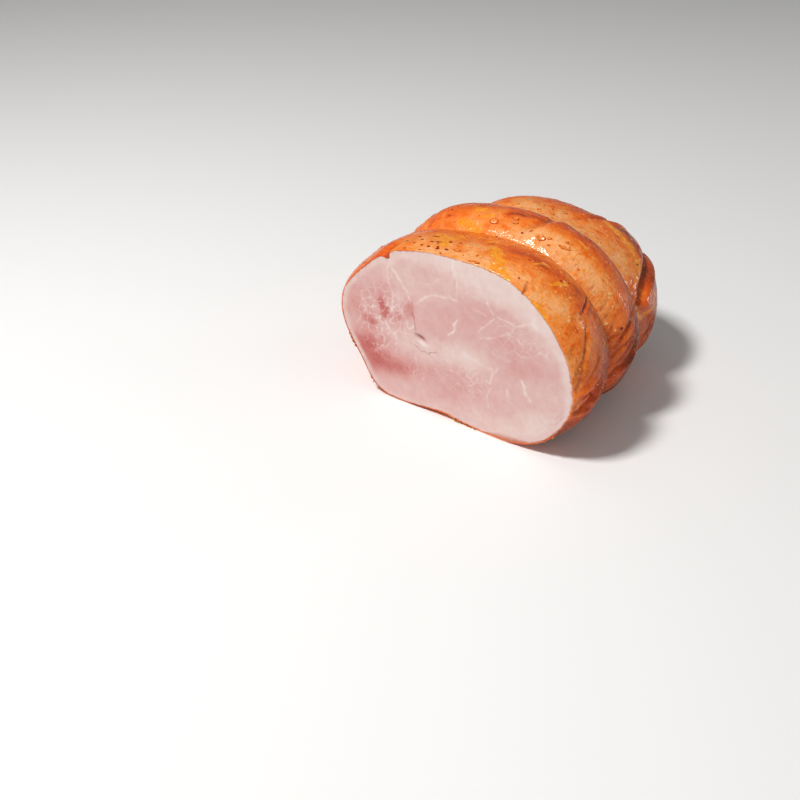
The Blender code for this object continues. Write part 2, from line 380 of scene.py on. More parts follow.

# Rind that the smoke has turned deeper, and rind that it has left paler. The deeper patches on
# the right, which faces away from the light, are deeper smoke and painted shade; the paler ones
# on the slopes just behind the ties, which face the light, are paler skin and painted sheen.
DEEPER_SMOKE_AND_SHADE_PATCHES = (
    Patch(((66, 30), (57.6, 31.5), (49, 30), (41, 31)), 4.5, 0.30),
    Patch(((65, 16), (59, 16), (55, 12.6)), 5.0, 0.20),
    Patch(((94, 76), (90, 81.5), (81, 84.6), (70, 89)), 2.6, 0.34),
    Patch(((66, 101), (50, 100), (34, 97), (20, 96)), 4.0, 0.30),
    Patch(((47, 166), (41.6, 172), (33, 169), (18.4, 163), (10.8, 159)), 4.5, 0.40),
    Patch(((22, 9), (16, 11)), 7.0, 0.22),
    Patch(((30, 24), (26, 14)), 6.0, 0.20),
    Patch(((110, 50), (95, 52), (76, 52)), 4.0, 0.16),
    Patch(((93.6, 76.4), (89.2, 80), (84, 82)), 1.6, 0.55),
    # This patch and those below at angles under 0 darken the right, which faces away from the light: deeper
    # smoke and painted shade
    Patch(((24, 166), (14, 160), (8, 150)), 7.0, 0.42),
    Patch(((-20, 20), (-35, 30), (-45, 20)), 16.0, 0.34),
    Patch(((-10, 100), (-30, 85), (-50, 90)), 16.0, 0.30),
    Patch(((150, 10), (138, 16), (134, 44)), 10.0, 0.20),
    Patch(((137, 0), (133, 7)), 2.4, 0.70),
    Patch(((-28, 5), (-40, 8), (-52, 6)), 11.0, 0.42),
    Patch(((148, 22), (152, 8), (143, 0)), 10.0, 0.34),
    Patch(((116, 68), (108, 68)), 6.0, 0.10),
    Patch(((-18, 2), (-26, 2)), 7.0, 0.70),
)
PALER_SKIN_AND_SHEEN_PATCHES = (
    Patch(((41, 4), (36, 10), (32, 14)), 5.0, 0.24),
    Patch(((110, 1), (92, 3), (70, 2)), 5.0, 0.20),
    # This patch and the next lie on the slopes just behind the ties, which face the light: paler skin under
    # the string, with painted sheen
    Patch(((74, 64), (60, 66), (45, 66), (32, 67)), 7.0, 0.38),
    Patch(((60, 130), (44, 130), (30, 130)), 8.0, 0.10),
    Patch(((112, 140), (100, 146), (84, 140)), 14.0, 0.26),
    Patch(((140, 40), (160, 30)), 12.0, 0.10),
    Patch(((56, 42), (46, 45), (36, 44)), 6.0, 0.26),
    Patch(((66, 138), (56, 141)), 9.0, 0.14),
    Patch(((14, 142), (9, 137)), 6.0, 0.24),
    Patch(((90, 21), (84, 23), (79, 25)), 4.5, 0.24),
    Patch(((56, 11), (46, 10)), 6.0, 0.12),
    Patch(((-8, 68), (-16, 66)), 6.0, 0.10),
    Patch(((34, 19), (24, 19)), 7.0, 0.08),
)

# Small soft spots where the smoke has caught: angle, mm along and half width in mm
CAUGHT_AT = (
    (129.2, 68.8, 1.5), (140, 69.2, 1.8), (142, 65.6, 1.2), (101.6, 63.1, 1.1), (102.8, 57.7, 1.2),
    (90, 37.7, 1.6), (118.8, 64.3, 1.6), (90, 65.2, 1.6), (111.2, 145.7, 2), (99.6, 149.5, 1.6),
    (86.8, 159.8, 2.8), (126, 134.6, 1.8), (113.2, 130.5, 1.4), (34.8, 35.9, 2.6), (40.8, 19, 2),
    (62, 22, 1.4), (50, 14, 1.6), (72, 40, 1.5), (60, 96, 1.6), (44, 76, 1.5), (80, 92, 1.8),
    (96, 88, 1.4), (70, 146, 1.8), (52, 140, 1.5), (36, 90, 1.6), (150, 30, 2), (166, 80, 2),
    (158, 140, 2.2), (186, 24, 2), (22, 12, 1.8),
)
CAUGHT_HALF_ANGLE = 1
CAUGHT_STRENGTH = 0.62
CAUGHT_SPOTS = tuple(
    Patch(((angle + CAUGHT_HALF_ANGLE, along), (angle - CAUGHT_HALF_ANGLE, along)), half_width,
          CAUGHT_STRENGTH)
    for angle, along, half_width in CAUGHT_AT
)

# Where a net pressed slanted lines in: strength, angle and its spread, mm along and its spread
HATCHED = ((1.2, 4, 28, 40, 18), (1.1, -2, 30, 92, 20), (1.0, -18, 13, 136, 16))


@dataclass(frozen=True)
class Spot:
    """A small raised spot on the rind: its place, its size in mm and its lean in degrees."""

    angle: float
    along: float
    long: float
    wide: float
    lean: float = 0.0


# Bubbles where the skin blistered
BLISTERS = tuple(Spot(*row) for row in (
    (98, 66.8, 7.6, 4.6, 4), (99.6, 35.9, 7.6, 4.6, -16), (87.2, 74.8, 5.6, 3.8, 8),
    (85.6, 70.8, 5.8, 3.2, 4), (73.6, 69.2, 2.6, 2.6), (65.6, 66, 6.4, 4.4, 14),
    (62.4, 68.8, 4.2, 2.8, 34), (92.8, 9.8, 6.4, 3.6), (86.8, 6.1, 2.4, 2), (79.2, 9.8, 2.6, 2, 10),
    (78.4, 2.4, 6.4, 2.2, 6), (74.8, 1.6, 3.4, 2, 10), (52.8, 68.8, 10.5, 2.4, 14),
    (59.6, 64.3, 2.2, 2), (54.4, 73.2, 2.6, 2.2, 20), (87.6, 149.8, 4.8, 3), (103.2, 135.9, 3, 3.4),
    (92, 138.4, 2.8, 3), (34, 27, 3, 2.4, 30), (40.4, 64.3, 2.2, 1.6), (146, 84, 3.4, 2.4, 20),
    (160, 90, 3, 2), (150, 22, 4.2, 2.2, 20), (172, 138, 3.4, 2.4),
))

# Spots that have caught the heat
SCABS = tuple(Spot(*row) for row in (
    (128.4, 74.4, 1.7, 1.8), (77.6, 65.6, 2, 2.2, 20), (91.6, 58.2, 2.4, 1.4, 10),
    (81.2, 33.7, 3.6, 1.8, 4), (102, 18.5, 3.8, 2.3, -10), (108.4, 15.3, 5.1, 2.4, 10),
    (112, 14, 3.5, 2), (115.2, 24.4, 6.2, 1.9, 8), (110.8, 7, 3, 2.7), (115.6, 7.5, 2.4, 2.2, -20),
    (105.2, 8.4, 2.3, 1.9), (104.4, 6.2, 3, 3.2), (98.8, 7.5, 3.8, 2.4, -10), (99.6, 1.4, 2, 1.6),
    (40.8, 28, 1.9, 2.2, 20), (8.8, 69.6, 2.2, 2.6), (121, 9, 2.4, 1.6), (124, 1.8, 2.2, 1.6),
    (114, 1.6, 1.8, 1.4), (119, 15, 2.7, 1.8, 10), (127, 12, 2.7, 1.9, 10), (107, 12, 2.4, 1.5),
    (96, 20, 2.7, 1.6), (123, 20, 3.5, 1.8, 8), (51, 93.5, 4, 1.2), (48.6, 96.5, 2.6, 1.1),
    (118, 134, 2, 1.2), (97, 146, 2.4, 1.6), (58, 163, 2.2, 1.6), (18, 162, 2.8, 1.4, 30),
    (27, 163, 2.4, 1.3, 20), (160, 31, 2.4, 1.6), (151, 44, 2, 1.3), (38, 33, 2, 1.6, 40),
    (21.6, 146.6, 3.4, 1.4, 60), (15.2, 145.1, 2.8, 1.3, 60),
))

# Torn bits of rind and fat on the rim of the cut face
CRUSTS = tuple(Spot(*row) for row in (
    (194.4, 0.6, 4.2, 2.6, 30), (196.6, 0.8, 3.4, 2.4, -20), (198.6, 0.4, 2.6, 2, 10),
    (192.6, 0.2, 2.2, 1.6), (216, 0.6, 2.6, 1.6, 20), (218, 0.4, 1.8, 1.4),
    (275.4, 0.2, 3.4, 1.8, 10), (277.6, 0.6, 2.8, 1.8, -20), (279.6, 0.3, 2.4, 1.6, 30),
    (282.4, 0.8, 3.2, 2), (284.6, 0.4, 2.6, 1.8, 24), (287.4, 0.6, 3.6, 2.2, -14),
    (290, 0.4, 2.8, 1.8), (324, 0.2, 2.4, 1.2, 10), (328.4, 0.2, 2, 1.2), (333, 0.3, 2.4, 1.2, 14),
))

# Drops of fat that set as they ran out
FLECKS = tuple(Spot(*row) for row in (
    (51.2, 33.7, 6, 1.4, 24), (39.6, 30.2, 2.8, 1.8, 30), (38.4, 28, 3, 1.8, 20),
    (39.2, 23.5, 2.6, 1.8, 10), (33.2, 23, 3.4, 1.4, 46), (33.2, 19.4, 2.6, 1.2, 40),
    (37, 26, 2.2, 1.2, 30), (26, 10.7, 3.2, 2.6, 60), (27.4, 12.6, 2.2, 1.6, 20),
    (24, 71.2, 3.8, 2.8, 50), (22.4, 69.6, 2.6, 1.8, 70), (12.4, 61.5, 4.2, 2.4, 80),
    (8.8, 65.2, 2.6, 2.2), (20.8, 62.3, 2, 1.6), (67.2, 7, 4.2, 2.4), (62.4, 5.2, 3.4, 2.6, 40),
    (58.4, 1.2, 4.2, 1.8, 30), (104, 157.1, 2.2, 1.4), (48, 126, 4.4, 1, 30),
    (44, 123, 3.2, 0.9, 30), (41, 4, 2, 1, 60), (38, 3, 2.4, 1, 60), (35, 2.4, 2.6, 1, 60),
    (32, 2.6, 2.4, 1, 50), (29, 2.2, 2, 1, 50), (36, 88, 2.4, 1, 30), (57, 162, 4.4, 1.6, 10),
    (50, 160, 5, 1.7, 10), (43, 156, 5, 1.6, 14), (36, 153.5, 4.6, 1.5, 24),
    (30, 151, 4.4, 1.3, 30), (24, 148, 3.8, 1.2, 36), (10, 9.6, 1.6, 0.9, 70),
    (14.4, 14.6, 1.6, 0.9, 60), (19, 19.8, 1.8, 0.9, 60), (6, 6.8, 1.8, 0.9, 70),
))


@dataclass(frozen=True)
class HamForm:
    """The ham's outside, from the same sizes as its solid, in metres and degrees.

    The cut face's radii are 20 degrees apart and the lobes' swells 45 degrees apart. A fit to
    the photo's outline gave most of them.
    """

    length: float = 0.2058
    axis_x: float = -0.0007
    axis_z: float = 0.064
    face_y: float = -0.1032
    first_tie_at: float = 0.0584
    first_tie_girth: float = 0.92
    second_tie_at: float = 0.1144
    second_tie_girth: float = 0.82
    front_begins_at: float = -0.0034
    swell_power: float = 2.3
    shoulder: float = 0.42
    dome_power: float = 2.42
    dome_roundness: float = 2.25
    tip_right: float = 0.0075
    tip_up: float = 0.0057
    sag_rounding: float = 0.0018
    sag: float = 0.0005
    face_radii: tuple[float, ...] = (
        0.1004, 0.0925, 0.0841, 0.0762, 0.0693, 0.0687, 0.0742, 0.0829, 0.0929,
        0.1011, 0.0925, 0.0889, 0.0740, 0.0612, 0.0632, 0.0752, 0.0902, 0.1014)
    front_swell: tuple[float, ...] = (
        0.0133, 0.0116, 0.0042, 0.0080, 0.0112, 0.0122, 0.0104, 0.0035)
    middle_swell: tuple[float, ...] = (
        0.0160, 0.0147, 0.0145, 0.0176, 0.0182, 0.0157, 0.0143, 0.0107)
    back_swell: tuple[float, ...] = (
        0.0062, -0.0012, -0.0010, 0.0106, 0.0139, 0.0166, 0.0192, 0.0156)

    def arch(self, part: Array) -> Array:
        """Rise from 0 at a lobe's start to 1 in its middle and fall to 0 at its end."""
        return 1.0 - np.abs(2.0 * part - 1.0) ** self.swell_power

    def radius(self, angle: Array, along: Array) -> Array:
        """Give the rind's distance from the axis before furrows and sag.

        Args:
            angle: Angles in radians.
            along: Distances from the cut face in metres.

        Returns:
            Radii in metres.
        """
        face = closed_curve(self.face_radii)(angle)
        front_part = along / self.first_tie_at
        whole = self.first_tie_at - self.front_begins_at
        swell = self.arch((along - self.front_begins_at) / whole)
        swell -= self.arch(-self.front_begins_at / whole) * (1.0 - front_part)
        front = face * (1.0 + (self.first_tie_girth - 1.0) * front_part)
        front += closed_curve(self.front_swell)(angle) * swell
        part = (along - self.first_tie_at) / (self.second_tie_at - self.first_tie_at)
        girth = self.first_tie_girth + (self.second_tie_girth - self.first_tie_girth) * part
        middle = face * girth + closed_curve(self.middle_swell)(angle) * self.arch(part)
        gone = self.dome_part(along)
        shoulder = 1.0 - np.clip(1.0 - gone / self.shoulder, 0.0, 1.0) ** self.swell_power
        back = face * self.second_tie_girth + closed_curve(self.back_swell)(angle) * shoulder
        back *= (1.0 - gone ** self.dome_power) ** (1.0 / self.dome_roundness)
        return np.select((along <= self.first_tie_at, along <= self.second_tie_at),
                         (front, middle), back)

    def dome_part(self, along: Array) -> Array:
        """Give how far along the back lobe a distance is, from 0 to 1."""
        return np.clip((along - self.second_tie_at) / (self.length - self.second_tie_at), 0.0, 1.0)

    def lobe_part(self, along: Array) -> Array:
        """Give how far along its own lobe a distance is, from 0 to 1."""
        middle = (along - self.first_tie_at) / (self.second_tie_at - self.first_tie_at)
        return np.select((along <= self.first_tie_at, along <= self.second_tie_at),
                         (along / self.first_tie_at, middle), self.dome_part(along))

    def tie_gap(self, along: Array) -> Array:
        """Give the distance to the nearer round tie, in metres."""
        return np.minimum(np.abs(along - self.first_tie_at), np.abs(along - self.second_tie_at))

    def smooth_points(self, angle: Array, along: Array) -> Array:
        """Give points of the ham before furrows and sag.

        Args:
            angle: Angles in radians.
            along: Distances from the cut face in metres.

        Returns:
            Points in metres.
        """
        radius = self.radius(angle, along)
        drift = self.dome_part(along) ** 2
        across = self.axis_x + self.tip_right * drift + radius * np.cos(angle)
        up = self.axis_z + self.tip_up * drift + radius * np.sin(angle)
        return np.stack((across, self.face_y + along, up), axis=-1)

    def outward(self, points: Array) -> Array:
        """Give directions away from the ham's core, which spread over the dome.

        Args:
            points: Points in metres.

        Returns:
            A direction of length 1 for each point.
        """
        core = points.copy()
        core[..., 0] = self.axis_x
        core[..., 1] = np.minimum(points[..., 1], self.face_y + self.second_tie_at)
        core[..., 2] = self.axis_z
        away = points - core
        return away / np.linalg.norm(away, axis=-1, keepdims=True)

    def line(self, run: Sequence[Sequence[float]], steps: int) -> tuple[Array, Array]:
        """Lay a run of (angle, mm along, ...) on the smooth rind.

        Args:
            run: The places that the line goes through.
            steps: How many points to give back.

        Returns:
            The line's points in metres, and its evenly spread rows.
        """
        rows = smooth_run(run, steps)
        return self.smooth_points(np.radians(rows[:, 0]), rows[:, 1] * MM), rows

    def settle(self, points: Array) -> Array:
        """Flatten the points that have sagged on to the surface under the ham.

        Args:
            points: Points in metres, which are changed in place.

        Returns:
            The same points.
        """
        sagged = self.sag_rounding * np.logaddexp(0.0, points[..., 2] / self.sag_rounding) - self.sag
        points[..., 2] = np.maximum(sagged, 0.0)
        return points


@dataclass
class Skin:
    """Relief and colour fields of the rind, worked out for any points on it.

    Reaches, the lip's crest and spreads are in half widths of a furrow or patch. A lump is
    given by its height and its width, and a bump round the ham by its centre and its width.
    """

    form: HamForm
    steps: int = 60
    furrow_reach: float = 4.0
    lip_crest: float = 1.7
    lip_spread: float = 0.9
    shade_spread: float = 0.55
    least_shade_width: float = 1.0 * MM
    patch_reach: float = 3.0
    patch_wobble: float = 0.35
    wobble_width: float = 3.5 * MM
    meat_lumps: tuple[Pair, ...] = ((0.75 * MM, 32 * MM), (0.30 * MM, 11 * MM))
    ripple: Pair = (0.05 * MM, 4.2 * MM)
    pucker_width: float = 4.4 * MM
    pucker_stretch: float = 0.35
    pucker_reach: float = 11 * MM
    pucker_height: float = 0.22 * MM
    right_pucker_height: float = 0.5 * MM
    right_side: Pair = (-8.0, 34.0)
    gather_height: float = 1.5 * MM
    gather_width: float = 0.42
    gather_stretch: Pair = (2.2, 0.4)
    gather_slope: Pair = (0.62, 0.97)
    lumps: Grain = field(default_factory=lambda: Grain(11))
    ripples: Grain = field(default_factory=lambda: Grain(23))

    def nearest(self, points: Array, line: Array, reach: float) -> tuple[Array, Array, Array]:
        """Find the points near a line and how far they are from it.

        Args:
            points: Points on the smooth rind, flat.
            line: The line's points.
            reach: Distance past which points are left out.

        Returns:
            Indices of the near points, their gaps, and the line's nearest index for each.
        """
        inside = np.all((points > line.min(axis=0) - reach) & (points < line.max(axis=0) + reach), axis=1)
        near = np.flatnonzero(inside)
        gaps = np.linalg.norm(points[near, None, :] - line[None], axis=-1)
        closest = gaps.argmin(axis=1)
        return near, gaps[np.arange(len(near)), closest], closest

    def press(self, furrow: Furrow, points: Array, away: Array) -> tuple[Array, Array]:
        """Work out one furrow's relief and the shade in its bottom.

        Args:
            furrow: The furrow.
            points: Points on the smooth rind, flat.
            away: Outward directions of the points.

        Returns:
            Relief in metres, and shade from 0 to 1.
        """
        relief = np.zeros(len(points))
        shade = np.zeros(len(points))
        line, rows = self.form.line(furrow.run, self.steps)
        width = furrow.half_width * MM
        near, gap, closest = self.nearest(points, line, self.furrow_reach * width)
        if len(near) == 0:
            return relief, shade
        ahead = np.gradient(line, axis=0)[closest]
        offset = points[near] - line[closest]
        left = np.einsum("ij,ij->i", np.cross(ahead, offset), away[near]) > 0.0
        depth = rows[closest, 2] * MM
        strength = depth / max(abs(row[2]) for row in furrow.run) / MM
        lip = furrow.lip * MM * np.abs(strength) * bell(gap / width, self.lip_crest, self.lip_spread)
        relief[near] = np.where(left, lip, 0.0) - depth * bell(gap, 0.0, width)
        shade_width = max(self.shade_spread * width, self.least_shade_width)
        shade[near] = furrow.shade * np.clip(strength, 0.0, 1.0) * bell(gap, 0.0, shade_width)
        return relief, shade

    def paint(self, patches: Sequence[Patch], points: Array) -> Array:
        """Blend patches into one field.

        Args:
            patches: The patches.
            points: Points on the smooth rind, flat.

        Returns:
            Strength from 0 to 1 at each point.
        """
        total = np.zeros(len(points))
        for patch in patches:
            line, _ = self.form.line(patch.run, self.steps)
            width = patch.half_width * MM
            near, gap, _ = self.nearest(points, line, self.patch_reach * width)
            wobble = 1.0 + self.patch_wobble * self.ripples.at(points[near], self.wobble_width)
            total[near] = np.maximum(total[near], patch.strength * bell(gap, 0.0, width * wobble))
        return total

    def relief(self, angle: Array, along: Array) -> tuple[Array, Array]:
        """Give the finished rind and the shade in its furrows.

        Args:
            angle: Angles in radians.
            along: Distances from the cut face in metres, of the same shape.

        Returns:
            Points in metres, and shade from 0 to 1.
        """
        smooth = self.form.smooth_points(angle, along)
        points = smooth.reshape(-1, 3)
        away = self.form.outward(points)
        flat_along = along.ravel()
        low = np.zeros(len(points))
        high = np.zeros(len(points))
        shade = np.zeros(len(points))
        for furrow in MAIN_FURROWS:
            relief, dark = self.press(furrow, points, away)
            low = np.minimum(low, relief)
            high = np.maximum(high, relief)
            shade = np.maximum(shade, dark)
        fine = np.zeros(len(points))
        for furrow in FINE_FURROWS:
            relief, dark = self.press(furrow, points, away)
            fine += relief
            shade = np.maximum(shade, dark)
        total = low + high + fine + self.unevenness(points, angle.ravel(), flat_along)
        points = points + total[:, None] * away
        return self.form.settle(points).reshape(smooth.shape), shade.reshape(angle.shape)

    def unevenness(self, points: Array, angle: Array, along: Array) -> Array:
        """Give the lumps of the meat, the puckers beside the ties and the gathers at the tip.

        Args:
            points: Points on the smooth rind, flat.
            angle: Their angles in radians.
            along: Their distances from the cut face in metres.

        Returns:
            Relief in metres.
        """
        lumps = self.lumps.layers(points, self.meat_lumps) + self.ripples.layers(points, (self.ripple,))
        flat = np.stack((USUAL_RADIUS * angle, self.pucker_stretch * along, np.zeros_like(along)), axis=-1)
        puckers = self.ripples.at(flat, self.pucker_width)
        puckers *= bell(self.form.tie_gap(along), 0.0, self.pucker_reach)
        height = self.pucker_height + self.right_pucker_height * bell(np.degrees(angle), *self.right_side)
        dome = self.form.dome_part(along)
        across, ahead = self.gather_stretch
        spokes = np.stack((across * np.cos(angle), across * np.sin(angle), ahead * dome), axis=-1)
        gathers = self.lumps.at(spokes, self.gather_width) * smooth_step(dome, *self.gather_slope)
        return lumps + height * puckers + self.gather_height * gathers


@dataclass(frozen=True)
class SmokeShadeAndSheen:
    """How deeply the smoke has coloured the rind, from 0 to 1, and where that changes.

    A slope holds where a change begins and ends, in degrees or as a part of a lobe. Besides
    smoke, the level carries painted shade on the right, which faces away from the light, and
    painted sheen on the slopes just behind the ties, which face it.
    """

    front: float = 0.16
    front_slope: Pair = (0.05, 0.75)
    front_rise: float = 0.12
    low_front_rise: float = 0.16
    low_front_slope: Pair = (-88.0, -60.0)
    other_lobes: float = 0.13
    # Paler on the slopes just behind the ties, which face the light, and deeper towards the crest: paler
    # skin under the string, with painted sheen
    crest_rise: float = 0.40
    crest_slope: Pair = (0.12, 0.62)
    upper_left: float = 0.20
    upper_left_slope: Pair = (116.0, 142.0)
    left: float = 0.20
    left_slope: Pair = (165.0, 205.0)
    # Deeper on the right and the underside, which face away from the light: deeper smoke and painted shade
    right: float = 0.44
    right_slope: Pair = (-24.0, 10.0)
    underside_slope: Pair = (-115.0, -60.0)
    right_front_slope: Pair = (-0.15, 0.30)
    dome: float = 0.12
    dome_slope: Pair = (0.45, 1.0)
    deep: float = 0.75
    caught: float = 0.42
    lumps: Pair = (0.17, 24 * MM)
    ripples: Pair = (0.10, 8 * MM)


@dataclass
class Rind:
    """The smoked rind: a closed shell whose rim frames the cut face."""

    skin: Skin
    smoke: SmokeShadeAndSheen = SmokeShadeAndSheen()
    around: int = 528
    front_rows: int = 48
    middle_rows: int = 46
    back_rows: int = 78
    front_crowding: float = 0.4
    middle_crowding: float = 0.6
    back_crowding: float = 0.85
    rim: float = 1.3 * MM
    rim_share: float = 0.75
    rim_lumps: tuple[Pair, ...] = ((0.35, 14 * MM), (0.15, 4 * MM))
    recess: float = 3.0 * MM
    lip_depth: float = 0.10 * MM
    crown_at: float = 0.45
    crown_height: float = 0.12 * MM
    fine_at: float = 35.0
    fineness: float = 0.38
    tie_shine_width: float = 10 * MM
    end_value: float = 0.5

    def places(self) -> Array:
        """Give the rows' distances from the cut face, closer beside ties and tip.

        Returns:
            Distances in metres.
        """
        form = self.skin.form

        def eased(count: int, share: float) -> Array:
            """Spread values from 0 to 1, closer together at both ends."""
            even = np.linspace(0.0, 1.0, count + 1)
            return (1.0 - share) * even + share * (0.5 - 0.5 * np.cos(np.pi * even))

        even = np.linspace(0.0, 1.0, self.front_rows + 1)
        share = self.front_crowding
        front = form.first_tie_at * ((1.0 - share) * even + share * np.sin(0.5 * np.pi * even))
        middle = eased(self.middle_rows, self.middle_crowding)
        middle = form.first_tie_at + (form.second_tie_at - form.first_tie_at) * middle
        back = eased(self.back_rows, self.back_crowding)
        back = form.second_tie_at + (form.length - form.second_tie_at) * back
        return np.concatenate((front, middle[1:], back[1:-1]))

    def angles(self, wrapped: int = 0) -> Array:
        """Give the columns' angles in radians, from underneath, closest on the detailed side.

        Args:
            wrapped: How many columns to add past the last one.

        Returns:
            The angles.
        """
        even = np.arange(self.around + wrapped) * 2.0 * np.pi / self.around
        centre = math.radians(self.fine_at) + 0.5 * np.pi
        pull = self.fineness * (np.sin(even - centre) + math.sin(centre))
        return even - pull - 0.5 * np.pi

    def edge(self) -> Array:
        """Give the rind's outer edge on the cut plane.

        Returns:
            Points in metres, one for each column.
        """
        angle = self.angles()
        points, _ = self.skin.relief(angle, np.zeros_like(angle))
        return points

    def rim_width(self) -> Array:
        """Give the rind's thickness round the cut face, which is uneven."""
        return self.rim * (self.rim_share + Grain(5).layers(self.edge(), self.rim_lumps))

    def inset(self, width: Array, at: float) -> Array:
        """Give a ring inside the edge.

        Args:
            width: How far inside the edge, for each column.
            at: Distance from the cut face, in metres.

        Returns:
            The ring's points.
        """
        form = self.skin.form
        ring = self.edge()
        centre = np.array((form.axis_x, form.face_y, form.axis_z))
        inward = centre - ring
        inward /= np.linalg.norm(inward, axis=-1, keepdims=True)
        ring = ring + width[:, None] * inward
        ring[:, 1] = form.face_y + at
        return ring

    def colours(self, angle: Array, along: Array) -> dict[str, Array]:
        """Work out the rind's colour fields.

        Args:
            angle: Angles in radians, flat.
            along: Distances from the cut face in metres, flat.

        Returns:
            Named fields from 0 to 1.
        """
        form = self.skin.form
        smoke = self.smoke
        points = form.smooth_points(angle, along)
        turn = np.degrees(angle)
        part = form.lobe_part(along)
        front = along <= form.first_tie_at
        rise = smoke.front_rise + smoke.low_front_rise * smooth_step(-turn, *smoke.low_front_slope)
        level = np.where(front, smoke.front + rise * smooth_step(part, *smoke.front_slope),
                         smoke.other_lobes + smoke.crest_rise * smooth_step(part, *smoke.crest_slope))
        level += smoke.upper_left * smooth_step(turn, *smoke.upper_left_slope)
        level += smoke.left * smooth_step(turn, *smoke.left_slope)
        level += smoke.dome * smooth_step(form.dome_part(along), *smoke.dome_slope)
        # The right and the underside, which face away from the light, get deeper smoke and painted shade
        right = smooth_step(-turn, *smoke.right_slope) * smooth_step(turn, *smoke.underside_slope)
        level += smoke.right * right * np.where(front, smooth_step(part, *smoke.right_front_slope), 1.0)
        # Deeper patches, with painted shade on the right; paler patches, with painted sheen behind the ties
        level += smoke.deep * self.skin.paint(DEEPER_SMOKE_AND_SHADE_PATCHES, points)
        level += smoke.caught * self.skin.paint(CAUGHT_SPOTS, points)
        level -= self.skin.paint(PALER_SKIN_AND_SHEEN_PATCHES, points)
        level += self.skin.lumps.layers(points, (smoke.lumps,))
        level += self.skin.ripples.layers(points, (smoke.ripples,))
        hatch = sum(share * bell(turn, at, wide) * bell(along, far * MM, long * MM)
                    for share, at, wide, far, long in HATCHED)
        return {
            # The smoke level, with painted shade on the right and painted sheen behind the ties
            "smoke": np.clip(level, 0.0, 1.0),
            "gold": self.skin.paint(GOLD_PATCHES, points),
            "tie": bell(form.tie_gap(along), 0.0, self.tie_shine_width),
            "hatch": np.clip(hatch, 0.0, 1.0),
        }

    def build(self, material: bpy.types.Material) -> bpy.types.Object:
        """Build the rind.

        Args:
            material: Its finish.

        Returns:
            The finished object.
        """
        form = self.skin.form
        angle, along = np.meshgrid(self.angles(), self.places())
        rows, shade = self.skin.relief(angle, along)
        width = self.rim_width()
        inner = self.inset(width, self.recess)
        lip = self.inset(width, self.lip_depth)
        crown = self.inset(self.crown_at * width, -self.crown_height)
        rows[0, :, 1] += self.lip_depth
        rings = np.concatenate((np.stack((inner, lip, crown)), rows))
        middle = np.array((form.axis_x, form.face_y + self.recess, form.axis_z))
        tip, _ = self.skin.relief(np.zeros(1), np.full(1, form.length))
        ring_angle = np.concatenate((np.repeat(angle[:1], 3, axis=0), angle))
        ring_along = np.concatenate((np.zeros((3, self.around)), along))
        fields = self.colours(ring_angle.ravel(), ring_along.ravel())
        # Painted shade in the bottoms of the furrows
        fields["crease_shade"] = np.concatenate((np.zeros((3, self.around)), shade)).ravel()
        steps = np.linalg.norm(np.diff(rings, axis=0, prepend=rings[:1]), axis=-1)
        body = closed_tube("ham_rind", rings, middle, tip[0])
        for name, values in fields.items():
            store(body.data, name, np.concatenate((values, (self.end_value, self.end_value))))
        write_uv(body.data, "skin", self.flat_map(np.cumsum(steps.mean(axis=1))))
        body.data.materials.append(material)
        body.data.shade_smooth()
        return body

    def flat_map(self, lengthwise: Array) -> Callable[[Array], Array]:
        """Make the map from vertex numbers to flat places on the rind, in metres.

        Args:
            lengthwise: Each ring's distance along the rind.

        Returns:
            A function from a face's vertex numbers to their flat places.
        """
        around = self.around
        across = USUAL_RADIUS * (self.angles(1) + 0.5 * np.pi)
        last = len(lengthwise) * around

        def places(faces: Array) -> Array:
            """Give the flat places of some faces' corners.

            Args:
                faces: The faces' vertex numbers.

            Returns:
                Two coordinates for each corner.
            """
            column = np.where(faces < last, faces % around, -1)
            ring = np.where(faces < last, faces // around, len(lengthwise) - 1)
            wrapped = (column == 0) & (column.max(axis=1, keepdims=True) == around - 1)
            column = np.where(wrapped, around, column)
            column = np.where(column < 0, column.max(axis=1, keepdims=True), column)
            return np.stack((across[column], lengthwise[ring]), axis=-1)

        return places


def closed_tube(name: str, rings: Array, start: Array, end: Array) -> bpy.types.Object:
    """Skin rings into a closed mesh with a fan at each end.

    Args:
        name: The object's name.
        rings: Points of the rings, as ring, column and coordinate.
        start: The point that closes the first ring.
        end: The point that closes the last ring.

    Returns:
        The object, linked to the scene, with its faces pointing out.
    """
    count, around = rings.shape[:2]
    points = np.vstack((rings.reshape(-1, 3), start, end))
    column = np.arange(around)
    after = (column + 1) % around
    base = (np.arange(count - 1) * around)[:, None]
    corners = (base + column, base + around + column, base + around + after, base + after)
    quads = np.stack(corners, axis=-1).reshape(-1, 4)
    first = np.stack((np.full(around, count * around), column, after), axis=-1)
    final = (count - 1) * around
    last = np.stack((final + column, np.full(around, count * around + 1), final + after), axis=-1)
    mesh = bpy.data.meshes.new(name)
    mesh.from_pydata(points.tolist(), [], quads.tolist() + first.tolist() + last.tolist())
    shape = bmesh.new()
    shape.from_mesh(mesh)
    bmesh.ops.recalc_face_normals(shape, faces=shape.faces)
    shape.to_mesh(mesh)
    shape.free()
    return new_object(name, mesh)


def store(mesh: bpy.types.Mesh, name: str, values: Array) -> None:
    """Write one value for each vertex as a named attribute."""
    layer = mesh.attributes.new(name, "FLOAT", "POINT")
    layer.data.foreach_set("value", np.asarray(values, dtype=np.float32))


